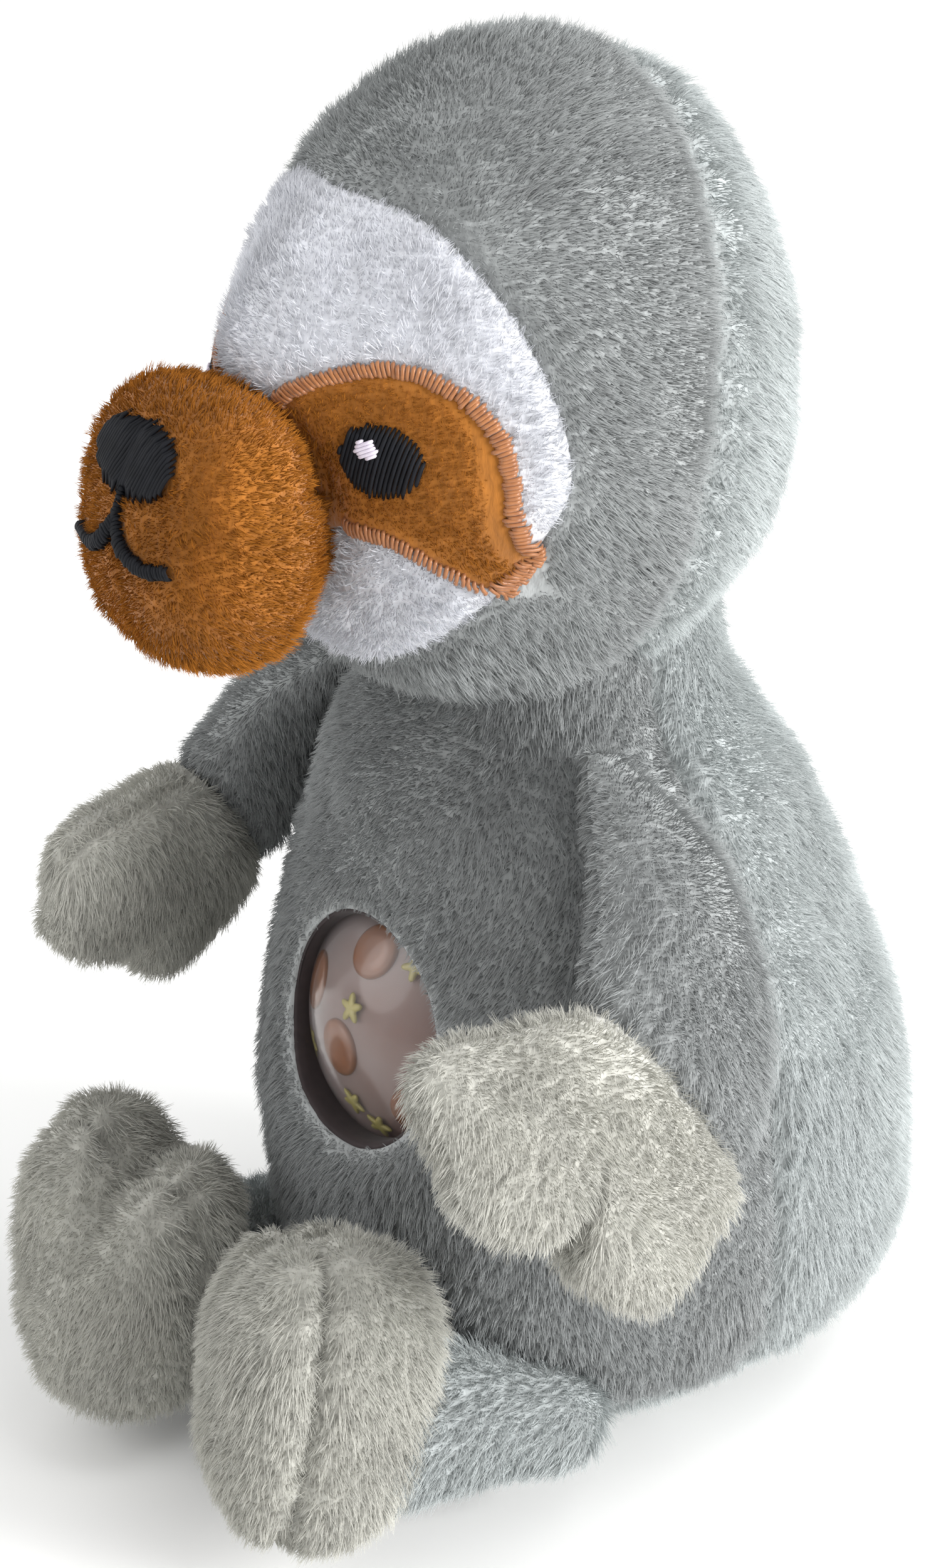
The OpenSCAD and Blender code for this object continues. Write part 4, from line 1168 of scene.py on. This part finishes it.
CLEAR, GEL, ORANGE, YELLOW = ball_materials()
# Tilt from the window's axis and turn round it, in degrees
DISC_PLACES = [[12, 235], [34, 172], [30, 95], [38, 320], [75, 40], [110, 150], [150, 260]]
STAR_PLACES = [[8, 100], [37, 60], [30, 268], [38, 285], [36, 212], [80, 300], [120, 20]]


def in_ball(skin, tilt, turn, depth):
    r = BALL_R - BALL_SKIN - depth
    m = WINDOW_TURN @ rot("z", turn) @ rot("y", tilt)
    return skin.moved(m, BALL_AT + m @ np.array([0, 0, r]))


def bead(outline, thick, dome):
    """Small flat bead with a rounded edge and a domed face."""
    rows = [np.concatenate([outline*k, np.full((len(outline), 1), z)], 1) for k, z in (
        (0.86, 0), (1, 0.25*thick), (1, 0.7*thick), (0.88, thick), (0.45, thick + dome))]
    return Skin.grid(rows, cap0=True, cap1=True)


def joined(skins):
    out = skins[0]
    for s in skins[1:]:
        out = out.joined(s)
    return out


turn = np.linspace(0, 2*math.pi, 40, endpoint=False)
circle = np.stack([3.4*np.cos(turn), 3.4*np.sin(turn)], -1)
star_r = 1.42 + 0.5*np.cos(5*turn)
star = np.stack([star_r*np.cos(turn), star_r*np.sin(turn)], -1)
discs = joined([in_ball(bead(circle, 1.2, 0.2), t, r, 1.9) for t, r in DISC_PLACES])
stars = joined([in_ball(bead(star, 0.6, 0.1), t, r, 0.9) for t, r in STAR_PLACES])
for skin, name, material, slot, node in (
    (sphere_skin(BALL_R).moved(WINDOW_TURN, BALL_AT), "ball", CLEAR, "clear_skin", "ball_skin"),
    (sphere_skin(18.6).moved(WINDOW_TURN, BALL_AT), "ball_filling", GEL, "clear_gel", "ball_gel"),
    (discs, "ball_discs", ORANGE, "orange_glitter", "orange_discs"),
    (stars, "ball_stars", YELLOW, "yellow_glitter", "yellow_stars"),
):
    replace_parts(skin.piece(name, material, slot, "ball"), node)

# The lining cloth and the ball's pocket are real parts, but their near-black colour is painted shade
# standing in for the shadow in the gap between the hole's edge and the ball.
SHADE_DARK_LINING = thread_material("dark_lining", (0.012, 0.007, 0.008), (0.035, 0.022, 0.022), rough=0.85, sheen=0.1)


def window_lining():
    """Lining cloth that follows the hole's edge and dives to the ball; its near-black colour is painted
    shade of the gap round the ball.
    """
    bvh = tree(torso)
    a = -np.linspace(0, 2*math.pi, 120, endpoint=False)
    inward = Vector(-WINDOW_TURN[:, 2])
    edge = []
    for x, y in zip(np.cos(a), np.sin(a)):
        start = WINDOW_AT + WINDOW_TURN @ np.array([x*(WINDOW_R + 1), y*(WINDOW_R + 1), 20])
        hit = bvh.ray_cast(Vector(start), inward)
        edge.append(20 - hit[3] if hit[0] else -2.0)
    edge = np.array(edge)
    rows = []
    # over the rim and down into the pocket: distance outside the hole, depth below its edge
    profile = ((0.6, 1.6), (0.25, 0.5), (-0.2, 0.15), (-0.6, 0.5), (-0.8, 1.6), (-0.9, 3.5), (-0.9, 8))
    for r, drop in profile:
        rows.append(np.stack([(WINDOW_R + r)*np.cos(a), (WINDOW_R + r)*np.sin(a), edge - drop], -1))
    return Skin.grid(rows).moved(WINDOW_TURN, WINDOW_AT)


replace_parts(window_lining().piece("window_lining_cloth", SHADE_DARK_LINING, "dark_lining", "torso"), "window_lining")
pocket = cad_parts["ball_pocket"]
# The pocket gets the same near-black colour: painted shade deep inside the hole.
pocket.data.materials.clear()
pocket.data.materials.append(SHADE_DARK_LINING)


# ---------- Floor, light and camera ----------

def area_light(name, place, size, watts, colour=(1, 1, 1)):
    data = bpy.data.lights.new(name, "AREA")
    data.shape, data.size, data.energy, data.color = "DISK", size, watts, colour
    o = bpy.data.objects.new(name, data)
    COLLECTION.objects.link(o)
    o.location = place
    o.rotation_mode = "QUATERNION"
    o.rotation_quaternion = (Vector(place) - Vector((0, 0, 0.09))).to_track_quat("Z", "Y")


def floor():
    me = bpy.data.meshes.new("floor")
    me.from_pydata([(-4, -4, 0), (4, -4, 0), (4, 4, 0), (-4, 4, 0)], [], [(0, 1, 2, 3)])
    m, _, _, bsdf = new_material("floor")
    bsdf.inputs["Base Color"].default_value = (0.93, 0.93, 0.92, 1)
    bsdf.inputs["Roughness"].default_value = 0.9
    me.materials.append(m)
    o = bpy.data.objects.new("floor", me)
    COLLECTION.objects.link(o)
    o.location = (0, 0, min(0, CAD_BOX[0].z) - 0.0015)


floor()
# Name, place in metres, size in metres, watts
area_light("key", (0.80, 0.40, 0.36), 0.5, 13.5)
area_light("front", (-0.35, -0.75, 0.45), 0.7, 2.5)
area_light("top", (0.25, 0.1, 0.95), 0.5, 2)
world = bpy.data.worlds.new("studio")
bpy.context.scene.world = world
world.use_nodes = True
world.node_tree.nodes["Background"].inputs["Color"].default_value = (1, 1, 1, 1)
world.node_tree.nodes["Background"].inputs["Strength"].default_value = 0.85
bpy.context.scene.view_settings.view_transform = "Standard"

camera = bpy.data.objects.new("camera", bpy.data.cameras.new("camera"))
COLLECTION.objects.link(camera)
AZIMUTH, ELEVATION, DISTANCE = math.radians(53), math.radians(26), 0.480
TARGET = Vector((-0.009, -0.014, 0.080))
away = Vector((math.sin(AZIMUTH)*math.cos(ELEVATION), -math.cos(AZIMUTH)*math.cos(ELEVATION),
               math.sin(ELEVATION)))
camera.location = TARGET + away*DISTANCE
camera.rotation_mode = "QUATERNION"
camera.rotation_quaternion = away.to_track_quat("Z", "Y")
camera.data.sensor_width, camera.data.lens = 24, 59.88
camera.data.clip_start, camera.data.clip_end = 0.01, 20
bpy.context.scene.camera = camera
